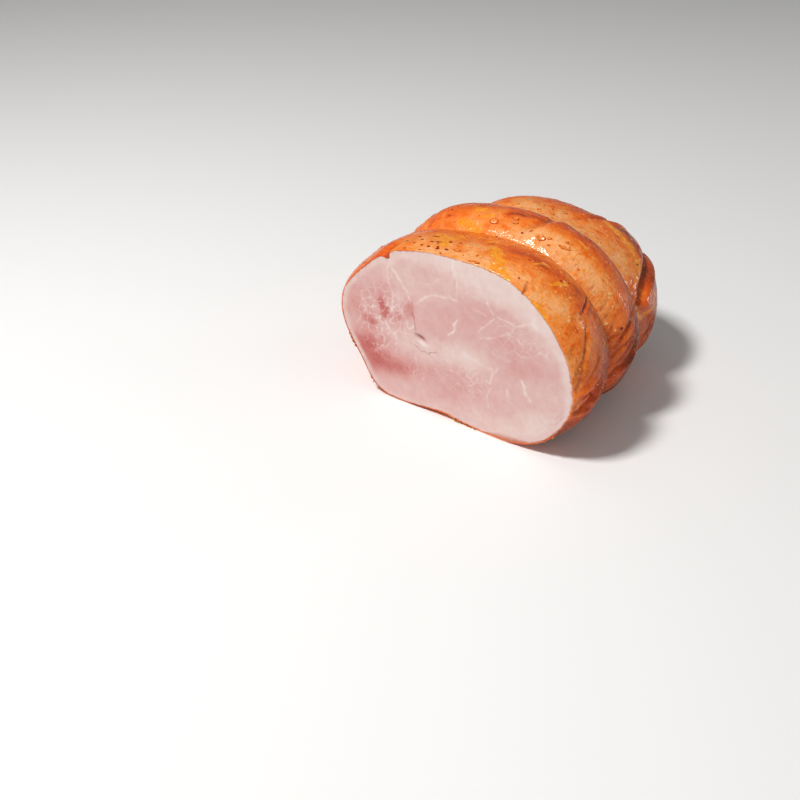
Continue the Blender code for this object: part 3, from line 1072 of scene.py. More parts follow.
def write_uv(mesh: bpy.types.Mesh, name: str, places: Callable[[Array], Array]) -> None:
    """Write a UV map.

    Args:
        mesh: The mesh.
        name: The map's name.
        places: A function from faces' vertex numbers to their flat places.
    """
    layer = mesh.uv_layers.new(name=name)
    flat = np.zeros((len(mesh.loops), 2), dtype=np.float32)
    starts = np.zeros(len(mesh.polygons), dtype=np.int32)
    sizes = np.zeros(len(mesh.polygons), dtype=np.int32)
    corners = np.zeros(len(mesh.loops), dtype=np.int32)
    mesh.polygons.foreach_get("loop_start", starts)
    mesh.polygons.foreach_get("loop_total", sizes)
    mesh.loops.foreach_get("vertex_index", corners)
    for size in np.unique(sizes):
        loops = starts[sizes == size][:, None] + np.arange(size)
        flat[loops] = places(corners[loops])
    layer.data.foreach_set("uv", flat.ravel())


@dataclass
class Spots:
    """Small low domes of one kind on the rind, some listed one by one and the rest scattered."""

    name: str
    skin: Skin
    spread: Callable[[Array], Array]
    seed: int
    rise: float
    placed: Sequence[Spot] = ()
    scattered: int = 0
    size: Pair = (1.0, 2.0)
    slimness: float = 0.62
    raggedness: float = 0.35 * MM
    lump: float = 1.6 * MM
    roundness: int = 2
    tries: int = 6
    turns: Pair = (-90.0, 270.0)
    reach: Pair = (1.0, 200.0)
    lean: float = 16.0
    step: float = 0.5 * MM
    radius: float = 90 * MM

    def all_spots(self) -> list[Spot]:
        """List the placed spots and the scattered ones.

        Returns:
            The spots.
        """
        draw = np.random.default_rng(self.seed)
        count = self.tries * self.scattered
        turn = draw.uniform(*self.turns, count)
        along = draw.uniform(*self.reach, count)
        kept = draw.uniform(size=count) < self.spread(turn)
        long = draw.uniform(*self.size, count)
        lean = draw.normal(0.0, self.lean, count)
        rows = np.stack((turn, along, long, long * self.slimness, lean), axis=-1)[kept]
        return [*self.placed, *(Spot(*row) for row in rows[:self.scattered])]

    def markers(self) -> bpy.types.Object:
        """Make one point for each spot, with its size and its turn as attributes.

        Returns:
            The points' object.
        """
        spots = self.all_spots()
        angle = np.radians([spot.angle for spot in spots])
        along = np.array([spot.along for spot in spots]) * MM
        here, _ = self.skin.relief(angle, along)
        round_way = self.skin.relief(angle + self.step / self.radius, along)[0] - here
        length_way = self.skin.relief(angle, along + self.step)[0] - here
        mesh = bpy.data.meshes.new(self.name + "_points")
        mesh.from_pydata(here.tolist(), [], [])
        sizes = mesh.attributes.new("size", "FLOAT_VECTOR", "POINT")
        turns = mesh.attributes.new("turn", "FLOAT_VECTOR", "POINT")
        for index, spot in enumerate(spots):
            up = Vector(length_way[index]).cross(Vector(round_way[index])).normalized()
            lean = Matrix.Rotation(math.radians(spot.lean), 3, up)
            first = (lean @ Vector(round_way[index])).normalized()
            turn = Matrix((first, up.cross(first), up)).transposed().to_euler()
            sizes.data[index].vector = (0.5 * spot.long * MM, 0.5 * spot.wide * MM, self.rise)
            turns.data[index].vector = turn[:]
        return new_object(self.name + "_points", mesh)

    def tree(self, material: bpy.types.Material) -> bpy.types.NodeTree:
        """Build the Geometry Nodes tree that sets a ragged dome on each point.

        Args:
            material: The domes' finish.

        Returns:
            The tree.
        """
        tree = bpy.data.node_groups.new(self.name, "GeometryNodeTree")
        for name, way, kind in (("Points", "INPUT", "Geometry"), ("Raggedness", "INPUT", "Float"),
                                ("Lump", "INPUT", "Float"), ("Roundness", "INPUT", "Int"),
                                ("Spots", "OUTPUT", "Geometry")):
            tree.interface.new_socket(name, in_out=way, socket_type="NodeSocket" + kind)
        given = add_node(tree, "NodeGroupInput")
        dome = add_node(tree, "GeometryNodeMeshIcoSphere", {
            "Radius": 1.0, "Subdivisions": given.outputs["Roundness"]})
        place = add_node(tree, "GeometryNodeInputPosition").outputs[0]
        height = add_node(tree, "ShaderNodeSeparateXYZ", {0: place})
        marked = add_node(tree, "GeometryNodeStoreNamedAttribute", {
            "Geometry": dome.outputs["Mesh"], "Name": "crown", "Value": height.outputs["Z"]})
        size, turn = (add_node(tree, "GeometryNodeInputNamedAttribute", {"Name": name},
                               data_type="FLOAT_VECTOR") for name in ("size", "turn"))
        copies = add_node(tree, "GeometryNodeInstanceOnPoints", {
            "Points": given.outputs["Points"], "Instance": marked.outputs["Geometry"],
            "Rotation": turn.outputs["Attribute"], "Scale": size.outputs["Attribute"]})
        solid = add_node(tree, "GeometryNodeRealizeInstances", {"Geometry": copies.outputs["Instances"]})
        scale = add_node(tree, "ShaderNodeMath", {0: 1.0, 1: given.outputs["Lump"]}, operation="DIVIDE")
        noise = add_node(tree, "ShaderNodeTexNoise", {"Scale": scale.outputs[0], "Detail": 1.0})
        centred = add_node(tree, "ShaderNodeVectorMath", {0: noise.outputs["Color"], 1: (0.5, 0.5, 0.5)},
                           operation="SUBTRACT")
        shift = add_node(tree, "ShaderNodeVectorMath", {
            0: centred.outputs[0], "Scale": given.outputs["Raggedness"]}, operation="SCALE")
        ragged = add_node(tree, "GeometryNodeSetPosition", {
            "Geometry": solid.outputs["Geometry"], "Offset": shift.outputs[0]})
        dressed = add_node(tree, "GeometryNodeSetMaterial", {
            "Geometry": ragged.outputs["Geometry"], "Material": material})
        add_node(tree, "NodeGroupOutput", {"Spots": dressed.outputs["Geometry"]})
        return tree

    def build(self, material: bpy.types.Material) -> bpy.types.Object:
        """Build the spots.

        Args:
            material: Their finish.

        Returns:
            The finished object.
        """
        source = self.markers()
        modifier = source.modifiers.new("spots", "NODES")
        tree = self.tree(material)
        modifier.node_group = tree
        sizes = {"Raggedness": self.raggedness, "Lump": self.lump, "Roundness": self.roundness}
        for item in tree.interface.items_tree:
            if item.name in sizes:
                modifier[item.identifier] = sizes[item.name]
        seen = source.evaluated_get(bpy.context.evaluated_depsgraph_get())
        mesh = bpy.data.meshes.new_from_object(seen)
        source.modifiers.remove(modifier)
        bpy.data.objects.remove(source)
        mesh.name = self.name
        mesh.shade_smooth()
        return new_object(self.name, mesh)


@dataclass(frozen=True)
class Seam:
    """A seam of fat, or a crack, on the cut face, through (mm across, mm up) places."""

    run: tuple[tuple[float, float], ...]
    half_width: float = 0.8
    strength: float = 0.8


@dataclass(frozen=True)
class Blotch:
    """A soft patch on the cut face that is deeper (above 0) or paler (below 0) in tone."""

    at: tuple[float, float]
    size: tuple[float, float]
    tone: float
    turn: float = 0.0


SEAMS = (
    Seam(((-56, 118), (-55, 112), (-51, 107), (-46, 102), (-42, 97), (-38, 91), (-36, 86)), 0.9, 0.75),
    Seam(((-57, 111), (-57, 104), (-56, 97), (-53, 91), (-52, 84), (-53, 78)), 0.9, 0.75),
    Seam(((-66, 76), (-64, 70), (-61, 67), (-59, 64), (-56, 60)), 1.9, 0.95),
    Seam(((-52, 78), (-54, 73), (-57, 67), (-58, 63)), 1.5, 0.9),
    Seam(((-78, 67), (-74, 68), (-72, 65), (-69, 64), (-66, 63), (-65, 60), (-69, 57), (-75, 57)),
         0.8, 0.8),
    Seam(((-82, 79), (-79, 75), (-78, 70), (-79, 66), (-82, 63), (-84, 58), (-87, 53)), 0.7, 0.7),
    Seam(((-51, 78), (-48, 76), (-44, 77), (-43, 72), (-45, 66), (-46, 61)), 0.8, 0.75),
    Seam(((-44, 77), (-42, 82), (-38, 89), (-40, 95)), 0.7, 0.7),
    Seam(((-38, 72), (-39, 66), (-36, 65), (-33, 68)), 0.8, 0.75),
    Seam(((-62, 56), (-65, 51), (-68, 47)), 0.7, 0.7),
    Seam(((-55, 46), (-61, 41), (-66, 38), (-72, 34)), 0.8, 0.75),
    Seam(((-81, 52), (-84, 50), (-84, 45)), 0.7, 0.5),
    Seam(((-31, 43), (-30, 37)), 0.8, 0.5),
    Seam(((-32, 31), (-33, 25)), 0.9, 0.5),
    Seam(((-23, 28), (-27, 22)), 0.9, 0.45),
    Seam(((-13, 39), (-9, 34), (-5, 30), (1, 26)), 0.7, 0.6),
    Seam(((14, 44), (18, 41), (21, 38), (27, 34)), 0.7, 0.7),
    Seam(((15, 34), (21, 38), (24, 44)), 0.7, 0.6),
    Seam(((-1, 131), (0, 126), (0, 120), (3, 116), (4, 110), (4, 105), (4, 100)), 0.9, 0.7),
    Seam(((4, 100), (-3, 100), (-10, 99), (-17, 98), (-22, 95), (-27, 91), (-31, 87)), 0.9, 0.75),
    Seam(((5, 85), (3, 81), (3, 77), (1, 74), (-2, 72)), 1.1, 0.95),
    Seam(((29, 106), (33, 101), (35, 98)), 0.8, 0.7),
    Seam(((37, 98), (33, 93), (28, 87), (23, 82)), 0.8, 0.7),
    Seam(((18, 98), (23, 97), (29, 96)), 0.7, 0.6),
    Seam(((39, 97), (46, 97), (52, 95), (57, 97), (62, 100), (66, 101), (70, 98)), 0.9, 0.75),
    Seam(((66, 101), (67, 106)), 0.8, 0.6),
    Seam(((52, 95), (50, 90), (46, 87), (40, 83), (34, 80), (25, 77)), 0.8, 0.7),
    Seam(((47, 87), (53, 86), (59, 83)), 0.7, 0.55),
    Seam(((36, 69), (44, 67), (50, 67)), 1.0, 0.35),
    Seam(((45, 72), (53, 76), (58, 74), (62, 74), (68, 77), (73, 81), (78, 80), (79, 84)), 0.8, 0.55),
    Seam(((40, 57), (36, 51), (35, 44), (32, 45)), 0.9, 0.7),
    Seam(((35, 39), (33, 32), (34, 24)), 0.8, 0.7),
    Seam(((49, 44), (50, 39)), 0.9, 0.55),
    Seam(((59, 57), (62, 51), (64, 46), (68, 41)), 1.2, 0.7),
    Seam(((-10, 113), (-20, 106), (-34, 104)), 1.0, 0.3),
    Seam(((-70, 92), (-66, 84), (-67, 77)), 0.7, 0.55),
    Seam(((-48, 92), (-46, 86), (-47, 79)), 0.6, 0.5),
    Seam(((4, 66), (12, 60), (24, 57), (36, 55)), 1.2, 0.3),
)

CRACKS = (
    Seam(((-35, 86), (-34, 81), (-33, 75), (-32, 70), (-31, 65)), 0.7, 0.9),
    Seam(((-35, 53), (-31, 52), (-26, 50)), 0.6, 0.8),
    Seam(((-27, 49), (-23, 50), (-19, 50), (-13, 53)), 0.6, 0.9),
    Seam(((-20, 50), (-17, 48), (-14, 46)), 0.5, 0.8),
    Seam(((85, 29), (89, 30), (92, 34), (95, 39)), 0.5, 0.7),
    Seam(((89, 34), (92, 38), (95, 43)), 0.5, 0.6),
    Seam(((-1, 122), (-1, 119)), 0.7, 0.6),
    Seam(((46, 33), (52, 31)), 0.5, 0.5),
)

BLOTCHES = (
    Blotch((-60, 72), (4.2, 7.5), 0.62, 18.0),
    Blotch((-73, 63), (7.0, 5.0), 0.34),
    Blotch((-70, 58), (3.5, 2.5), 0.25),
    Blotch((-66, 46), (11.0, 8.0), 0.26),
    Blotch((-76, 31), (15.0, 9.0), 0.36, -25.0),
    Blotch((-57, 28), (13.0, 8.0), 0.30),
    Blotch((-41, 32), (14.0, 8.0), 0.20),
    Blotch((-80, 44), (9.0, 10.0), 0.20),
    Blotch((-47, 70), (4.5, 7.0), 0.32, 8.0),
    Blotch((-38, 80), (4.0, 7.0), 0.26),
    Blotch((-72, 84), (10.0, 10.0), 0.16),
    Blotch((-60, 88), (9.0, 9.0), 0.12),
    Blotch((-8, 72), (22.0, 15.0), 0.10),
    Blotch((26, 92), (26.0, 12.0), 0.12),
    Blotch((52, 68), (20.0, 12.0), 0.20),
    Blotch((-88, 72), (8.0, 16.0), 0.22),
    Blotch((8, 34), (26.0, 12.0), 0.13),
    Blotch((-20, 26), (20.0, 10.0), 0.08),
    Blotch((-6, 55), (26.0, 8.0), -0.12, 8.0),
    Blotch((22, 62), (26.0, 8.0), -0.12, 12.0),
    Blotch((-46, 54), (10.0, 6.0), -0.05),
    Blotch((-25, 56), (3.6, 1.6), -0.35, -12.0),
    Blotch((78, 24), (16.0, 10.0), -0.16, 30.0),
    Blotch((50, 12), (30.0, 7.0), -0.10),
    Blotch((-84, 92), (8.0, 14.0), -0.06),
)

# Where the meat shows a net of fine fat: mm across and up, half width and half height, strength
NET_AREAS = (
    (-62, 70, 24, 22, 1.0), (-64, 44, 16, 12, 0.7), (14, 38, 26, 14, 0.42), (52, 84, 24, 14, 0.35),
    (-30, 32, 16, 12, 0.30),
)

# Bumps in width round the face, each with its mm, its angle and its spread in degrees
PALE_BAND_BUMPS = ((20.0, 62.0, 44.0), (3.0, 128.0, 18.0))
STAIN_BUMPS = ((5.5, -50.0, 9.0), (0.9, -10.0, 40.0))


@dataclass
class CutFace:
    """The cut meat: a thin slab that fills the rind's rim, moist and finely grained."""

    rind: Rind
    rings: int = 150
    crowding: float = 0.92
    thickness: float = 2.2 * MM
    rim_gap: float = 0.08 * MM
    height: float = 0.02 * MM
    pit_at: Pair = (-27.0 * MM, 60.0 * MM)
    pit_size: Pair = (4.4 * MM, 2.3 * MM)
    pit_slope: float = 0.28
    pit_power: float = 1.3
    pit_depth: float = 2.2 * MM
    pit_shade: float = 0.9
    crack_depth: float = 0.55 * MM
    unevenness: tuple[Pair, ...] = ((0.16 * MM, 22 * MM), (0.06 * MM, 7 * MM))
    level_rim: float = 2.5 * MM
    sharp_angle: float = 50.0
    grain: Grain = field(default_factory=lambda: Grain(37))
    steps: int = 40
    seam_reach: float = 8 * MM
    far: float = 20.0
    seam_bend: Pair = (1.0 * MM, 4 * MM)
    seam_strength: float = 0.72
    seam_breaks: Pair = (0.75, 5 * MM)
    seam_limits: Pair = (0.12, 1.2)
    seam_narrowing: float = 1.6
    seam_uneven: Pair = (0.45, 6 * MM)
    seam_core: float = 0.78
    halo_width: float = 2.8
    usual_tone: float = 0.46
    blotch_bend: Pair = (2.2 * MM, 12 * MM)
    blotch_power: float = 1.4
    band_width: float = 4.5
    band_lumps: tuple[Pair, ...] = ((0.25, 14 * MM), (0.10, 5 * MM))
    band_slope: Pair = (0.50, 1.30)
    band_tone: float = 0.40
    band_paler: tuple[tuple[float, float, float], ...] = ((0.16, 55.0, 75.0),)
    tone_lumps: tuple[Pair, ...] = ((0.06, 15 * MM), (0.05, 7 * MM), (0.035, 3.2 * MM))
    net_power: float = 1.5
    stain_width: float = 0.55

    def space(self, flat: Array, shift: float = 0.0) -> Array:
        """Give flat places a third coordinate, moved along to a new part of the noise."""
        return np.stack((flat[:, 0], flat[:, 1], np.zeros(len(flat))), axis=-1) + shift

    def bent(self, flat: Array, bend: Pair, shift: float) -> Array:
        """Push flat places about by noise with a height and a width."""
        ways = (self.grain.at(self.space(flat, move), bend[1]) for move in (0.0, shift))
        return flat + bend[0] * np.stack(tuple(ways), axis=-1)

    def turn(self, flat: Array) -> Array:
        """Give the angle of flat places round the face's middle, in degrees."""
        return np.degrees(np.arctan2(flat[:, 1] - self.rind.skin.form.axis_z, flat[:, 0]))

    def gap(self, seam: Seam, flat: Array) -> Array:
        """Give how far places are from a seam.

        Args:
            seam: The seam or crack.
            flat: Places on the face, as across and up in metres from its bottom middle.

        Returns:
            Distances in half widths of the seam.
        """
        rows = smooth_run(seam.run, self.steps) * MM
        reach = self.seam_reach
        near = np.all((flat > rows.min(axis=0) - reach) & (flat < rows.max(axis=0) + reach), axis=1)
        gaps = np.full(len(flat), self.far)
        away = np.linalg.norm(flat[near, None, :] - rows[None], axis=-1).min(axis=1)
        gaps[near] = away / (seam.half_width * MM)
        return gaps

    def lines(self, seams: Sequence[Seam], flat: Array) -> Array:
        """Blend seams or cracks into one field.

        Args:
            seams: The lines.
            flat: Places on the face, as across and up in metres from its bottom middle.

        Returns:
            Strength from 0 to 1 at each place.
        """
        bent = self.bent(flat, self.seam_bend, 1.0)
        broken = self.seam_strength + self.grain.layers(self.space(flat, 2.0), (self.seam_breaks,))
        broken = np.clip(broken, *self.seam_limits)
        narrow = self.seam_narrowing * (1.0 + self.grain.layers(self.space(flat, 3.0), (self.seam_uneven,)))
        total = np.zeros(len(flat))
        for seam in seams:
            gap = narrow * self.gap(seam, bent)
            halo = bell(gap, 0.0, self.halo_width)
            line = self.seam_core * bell(gap, 0.0, 1.0) + (1.0 - self.seam_core) * halo
            total = np.maximum(total, seam.strength * broken * line)
        return np.clip(total, 0.0, 1.0)

    def tone(self, flat: Array, rim_gap: Array) -> Array:
        """Work out the meat's tone, from 0 for fat to 1 for deep pink.

        Args:
            flat: Places on the face, as across and up in metres from its bottom middle.
            rim_gap: Distance from the rind in metres.

        Returns:
            The tone at each place.
        """
        space = self.space(flat)
        total = np.full(len(flat), self.usual_tone)
        bent = self.bent(flat, self.blotch_bend, 3.0)
        for blotch in BLOTCHES:
            turn = math.radians(blotch.turn)
            offset = bent / MM - np.array(blotch.at)
            across = offset[:, 0] * math.cos(turn) + offset[:, 1] * math.sin(turn)
            up = offset[:, 1] * math.cos(turn) - offset[:, 0] * math.sin(turn)
            reach = (across / blotch.size[0]) ** 2 + (up / blotch.size[1]) ** 2
            total += blotch.tone * np.exp(-0.5 * reach ** self.blotch_power)
        angle = self.turn(flat)
        width = (self.band_width + bells(angle, PALE_BAND_BUMPS)) * MM
        width *= 1.0 + self.grain.layers(space, self.band_lumps)
        band = 1.0 - smooth_step(rim_gap / width, *self.band_slope)
        pale = self.band_tone - bells(angle, self.band_paler)
        total = total * (1.0 - band) + pale * band + self.grain.layers(space, self.tone_lumps)
        return np.clip(total, 0.0, 1.0)

    def cells(self, flat: Array) -> Array:
        """Give where the meat shows a net of fine fat.

        Args:
            flat: Places on the face, as across and up in metres from its bottom middle.

        Returns:
            Strength from 0 to 1 at each place.
        """
        total = np.zeros(len(flat))
        for across, up, wide, high, strength in NET_AREAS:
            reach = ((flat[:, 0] / MM - across) / wide) ** 2 + ((flat[:, 1] / MM - up) / high) ** 2
            total = np.maximum(total, strength * np.exp(-reach ** self.net_power))
        return total

    def stain(self, flat: Array) -> Array:
        """Give how wide the smoke's stain is inside the rind, in mm."""
        return self.stain_width + bells(self.turn(flat), STAIN_BUMPS)

    def relief(self, flat: Array, rim_gap: Array, crack: Array) -> tuple[Array, Array]:
        """Work out how far the cut meat lies back from its plane.

        Args:
            flat: Places on the face, as across and up in metres from its bottom middle.
            rim_gap: Distance from the rind in metres.
            crack: Strength of the cracks.

        Returns:
            Depth in metres, and the pit's strength.
        """
        across, up = flat[:, 0] - self.pit_at[0], flat[:, 1] - self.pit_at[1]
        wide, high = self.pit_size
        reach = (across / wide) ** 2 + ((up + self.pit_slope * across) / high) ** 2
        pit = np.exp(-reach ** self.pit_power)
        depth = self.grain.layers(self.space(flat), self.unevenness)
        depth += self.pit_depth * pit + self.crack_depth * crack
        return self.height + depth * smooth_step(rim_gap, 0.0, self.level_rim), pit

    def build(self, material: bpy.types.Material) -> bpy.types.Object:
        """Build the cut face.

        Args:
            material: Its finish.

        Returns:
            The finished object.
        """
        form = self.rind.skin.form
        width = self.rind.rim_width() - self.rim_gap
        outline = self.rind.inset(width, 0.0)
        centre = np.array((form.axis_x, form.face_y, form.axis_z))
        share = np.linspace(1.0, 0.0, self.rings + 1)[:-1] ** self.crowding
        front = centre + share[:, None, None] * (outline - centre)
        flat = front.reshape(-1, 3)[:, (0, 2)] - np.array((form.axis_x, 0.0))
        rim_gap = ((1.0 - share)[:, None] * np.linalg.norm(outline - centre, axis=-1)).ravel()
        crack = self.lines(CRACKS, flat)
        depth, pit = self.relief(flat, rim_gap, crack)
        front[..., 1] = form.face_y + depth.reshape(front.shape[:2])
        rings = np.concatenate((self.rind.inset(width, self.thickness)[None], front))
        back = centre + np.array((0.0, self.thickness, 0.0))
        middle = centre + np.array((0.0, self.height, 0.0))
        face = closed_tube("ham_cut_face", rings, back, middle)
        fields = {
            "tone": self.tone(flat, rim_gap),
            "seam": self.lines(SEAMS, flat),
            # The cracks, with painted shade in the pit added to them
            "crack": np.clip(crack + self.pit_shade * pit, 0.0, 1.0),
            "cells": self.cells(flat),
            "rim_gap": rim_gap / MM,
            "stain": self.stain(flat),
        }
        for name, values in fields.items():
            edge = values[:self.rind.around]
            store(face.data, name, np.concatenate((edge, values, edge[:1], values[-1:])))
        face.data.materials.append(material)
        face.data.shade_smooth()
        face.data.set_sharp_from_angle(angle=math.radians(self.sharp_angle))
        return face


@dataclass(frozen=True)
class SmokedRind:
    """Pork rind, cooked and hot-smoked.

    It is a tight, slightly translucent skin. The smoke leaves it peach to red-brown, and its
    own rendered fat gives it a wet, sharp shine over a fine leathery grain.
    """

    name: str = "smoked_pork_rind"
    tones: tuple[tuple[float, str], ...] = (
        (0.0, "#FFB270"), (0.18, "#FA9545"), (0.38, "#F47116"), (0.58, "#E2560F"), (0.80, "#B54415"),
        (1.0, "#7A3015"))
    golds: tuple[tuple[float, str], ...] = ((0.36, "#FF8A06"), (0.64, "#FFAA28"))
    # Colour of the painted shade in the bottoms of the furrows
    fold_shade: str = "#A8401A"
    roughness: Pair = (0.36, 0.56)
    ior: float = 1.42
    specular: float = 0.22
    wet: float = 0.5
    wet_roughness: float = 0.10
    glow: float = 0.06
    glow_radius: tuple[float, float, float] = (1.0, 0.3, 0.1)
    glow_depth: float = 1.5 * MM
    clouds: tuple[tuple[str, float, float], ...] = (
        ("mottle", 7.0, 5.0), ("smudges", 4.5, 2.0), ("freckles", 2.6, 3.0), ("pores", 1.2, 2.0),
        ("film", 3.2, 0.0), ("broad_film", 8.0, 0.0))
    brushes: tuple[tuple[str, float, float, float], ...] = (
        ("brushed", 0.12, 9.0, 3.0), ("puckers", 1.35, 6.0, 2.0), ("slanted", -0.75, 5.0, 2.0),
        ("fat_streaks", -0.2, 4.0, 1.0))
    streak_mm: float = 1.0
    comb_mm: float = 1.7
    comb_turn: float = -0.85
    slanted_slope: Pair = (0.36, 0.60)
    caught_slope: Pair = (0.56, 0.70)
    caught_most: float = 0.18
    pore_slope: Pair = (0.3, 0.7)
    fleck_slope: Pair = (0.66, 0.80)
    fleck_most: float = 0.26
    gold_slope: Pair = (1.28, 1.62)
    gold_most: float = 0.95
    smoke_shares: Shares = (
        ("mottle", 0.46), ("brushed", 0.44), ("freckles", 0.24), ("slant", 0.40), ("combed", -0.34),
        ("caught", 1.0))
    smoke_start: float = -0.55
    gold_shares: Shares = (("gold", 0.80), ("brushed", 1.3), ("mottle", 1.1))
    relief_shares: Shares = (
        ("brushed", 1.0), ("near_tie", 1.3), ("slant", 1.6), ("combed", 0.48), ("smudges", 2.6),
        ("freckles", 0.5))
    relief_depth: float = 0.55 * MM
    film_shares: Shares = (
        ("film", 0.34), ("broad_film", 0.9), ("near_tie", 0.14), ("slant", 0.42), ("combed", 0.08))
    film_depth: float = 1.1 * MM

    def streaks(self, tree: bpy.types.NodeTree, flat: bpy.types.NodeSocket, turn: float, long: float,
                detail: float) -> bpy.types.NodeSocket:
        """Add streaks on the skin.

        Args:
            tree: The material's tree.
            flat: Flat places on the skin.
            turn: The streaks' turn from the way round the ham, in radians.
            long: Their length in mm.
            detail: Detail of their noise.

        Returns:
            The output that holds them.
        """
        turned = add_node(tree, "ShaderNodeMapping", {"Vector": flat, "Rotation": (0.0, 0.0, turn)})
        stretched = add_node(tree, "ShaderNodeMapping", {
            "Vector": turned.outputs["Vector"],
            "Scale": (1.0 / (long * MM), 1.0 / (self.streak_mm * MM), 1.0)})
        noise = add_node(tree, "ShaderNodeTexNoise", {
            "Vector": stretched.outputs["Vector"], "Scale": 1.0, "Detail": detail, "Roughness": 0.6})
        return noise.outputs["Fac"]

    def comb(self, tree: bpy.types.NodeTree, flat: bpy.types.NodeSocket) -> bpy.types.NodeSocket:
        """Add the fine slanted lines that a net pressed in while the ham cooked.

        Args:
            tree: The material's tree.
            flat: Flat places on the skin.

        Returns:
            The output that holds the lines, from -0.5 to 0.5.
        """
        turned = add_node(tree, "ShaderNodeMapping", {
            "Vector": flat, "Rotation": (0.0, 0.0, self.comb_turn)})
        wave = add_node(tree, "ShaderNodeTexWave", {
            "Vector": turned.outputs["Vector"], "Scale": math.pi / 10.0 / (self.comb_mm * MM),
            "Distortion": 2.6, "Detail": 2.0, "Detail Scale": 0.9})
        centred = add_node(tree, "ShaderNodeMath", {0: wave.outputs["Fac"], 1: 0.5}, operation="SUBTRACT")
        return centred.outputs[0]

    def patterns(self, tree: bpy.types.NodeTree) -> Sockets:
        """Add every pattern that the colour and the relief are mixed from.

        Args:
            tree: The material's tree.

        Returns:
            The output that holds each pattern.
        """
        found = {name: add_node(tree, "ShaderNodeAttribute", attribute_name=name).outputs["Fac"]
                 for name in ("smoke", "gold", "crease_shade", "hatch", "tie")}
        space = add_node(tree, "ShaderNodeTexCoord").outputs["Object"]
        flat = add_node(tree, "ShaderNodeUVMap", uv_map="skin").outputs["UV"]
        for name, width, detail in self.clouds:
            found[name] = add_node(tree, "ShaderNodeTexNoise", {
                "Vector": space, "Scale": 1.0 / (width * MM), "Detail": detail,
                "Roughness": 0.62}).outputs["Fac"]
        for name, turn, long, detail in self.brushes:
            found[name] = self.streaks(tree, flat, turn, long, detail)
        found["scored"] = add_node(tree, "ShaderNodeMapRange", {
            "Value": found["slanted"], "From Min": self.slanted_slope[0],
            "From Max": self.slanted_slope[1], "To Min": -0.5, "To Max": 0.5}).outputs[0]
        found["lines"] = self.comb(tree, flat)
        found["caught"] = add_node(tree, "ShaderNodeMapRange", {
            "Value": found["smudges"], "From Min": self.caught_slope[0],
            "From Max": self.caught_slope[1], "To Max": self.caught_most}).outputs[0]
        for name, pattern, where in (("slant", "scored", "hatch"), ("combed", "lines", "hatch"),
                                     ("near_tie", "puckers", "tie")):
            found[name] = add_node(tree, "ShaderNodeMath", {
                0: found[pattern], 1: found[where]}, operation="MULTIPLY").outputs[0]
        return found

    def blend(self, tree: bpy.types.NodeTree, found: Sockets, start: float | bpy.types.NodeSocket,
              shares: Shares) -> bpy.types.NodeSocket:
        """Add shares of some patterns to a value.

        Args:
            tree: The material's tree.
            found: The patterns.
            start: The value, or the output that holds it.
            shares: Names of patterns with their shares.

        Returns:
            The output that holds the sum.
        """
        total = start
        for name, share in shares:
            step = add_node(tree, "ShaderNodeMath", {0: found[name], 1: share, 2: total},
                            operation="MULTIPLY_ADD")
            total = step.outputs[0]
        return total

    def colour(self, tree: bpy.types.NodeTree, found: Sockets) -> bpy.types.NodeSocket:
        """Mix the rind's colour from smoke, golden fat and painted shade in the furrows.

        Args:
            tree: The material's tree.
            found: The patterns.

        Returns:
            The output that holds the colour.
        """
        smoke = self.blend(tree, found, found["smoke"], self.smoke_shares)
        tone = add_node(tree, "ShaderNodeMath", {0: smoke, 1: self.smoke_start})
        smoked = add_node(tree, "ShaderNodeValToRGB", {"Fac": tone.outputs[0]}, self.tones)
        fleck = add_node(tree, "ShaderNodeMapRange", {
            "Value": found["fat_streaks"], "From Min": self.fleck_slope[0],
            "From Max": self.fleck_slope[1], "To Max": self.fleck_most})
        golden = add_node(tree, "ShaderNodeMapRange", {
            "Value": self.blend(tree, found, 0.0, self.gold_shares), "From Min": self.gold_slope[0],
            "From Max": self.gold_slope[1], "To Max": self.gold_most})
        fat = add_node(tree, "ShaderNodeMath", {0: golden.outputs[0], 1: fleck.outputs[0]},
                       operation="MAXIMUM")
        gold = add_node(tree, "ShaderNodeValToRGB", {"Fac": found["freckles"]}, self.golds)
        gilded = add_node(tree, "ShaderNodeMix", {
            0: fat.outputs[0], 6: smoked.outputs["Color"], 7: gold.outputs["Color"]}, data_type="RGBA")
        # Painted shade in the bottoms of the furrows
        shade_in_folds = add_node(tree, "ShaderNodeMix", {
            0: found["crease_shade"], 6: gilded.outputs[2], 7: linear(self.fold_shade)}, data_type="RGBA")
        return shade_in_folds.outputs[2]

    def build(self) -> bpy.types.Material:
        """Build the material.

        Returns:
            The material.
        """
        material, tree, shader = new_material(self.name)
        found = self.patterns(tree)
        tree.links.new(self.colour(tree, found), shader.inputs["Base Color"])
        dull = add_node(tree, "ShaderNodeMapRange", {
            "Value": found["pores"], "From Min": self.pore_slope[0], "From Max": self.pore_slope[1],
            "To Min": self.roughness[0], "To Max": self.roughness[1]})
        tree.links.new(dull.outputs[0], shader.inputs["Roughness"])
        for shares, depth, socket in ((self.relief_shares, self.relief_depth, "Normal"),
                                      (self.film_shares, self.film_depth, "Coat Normal")):
            height = self.blend(tree, found, 0.0, shares)
            bump = add_node(tree, "ShaderNodeBump", {"Height": height, "Strength": 1.0, "Distance": depth})
            tree.links.new(bump.outputs["Normal"], shader.inputs[socket])
        set_inputs(shader, {
            "IOR": self.ior, "Specular IOR Level": self.specular, "Coat Weight": self.wet,
            "Coat Roughness": self.wet_roughness, "Subsurface Weight": self.glow,
            "Subsurface Radius": self.glow_radius, "Subsurface Scale": self.glow_depth})
        return material


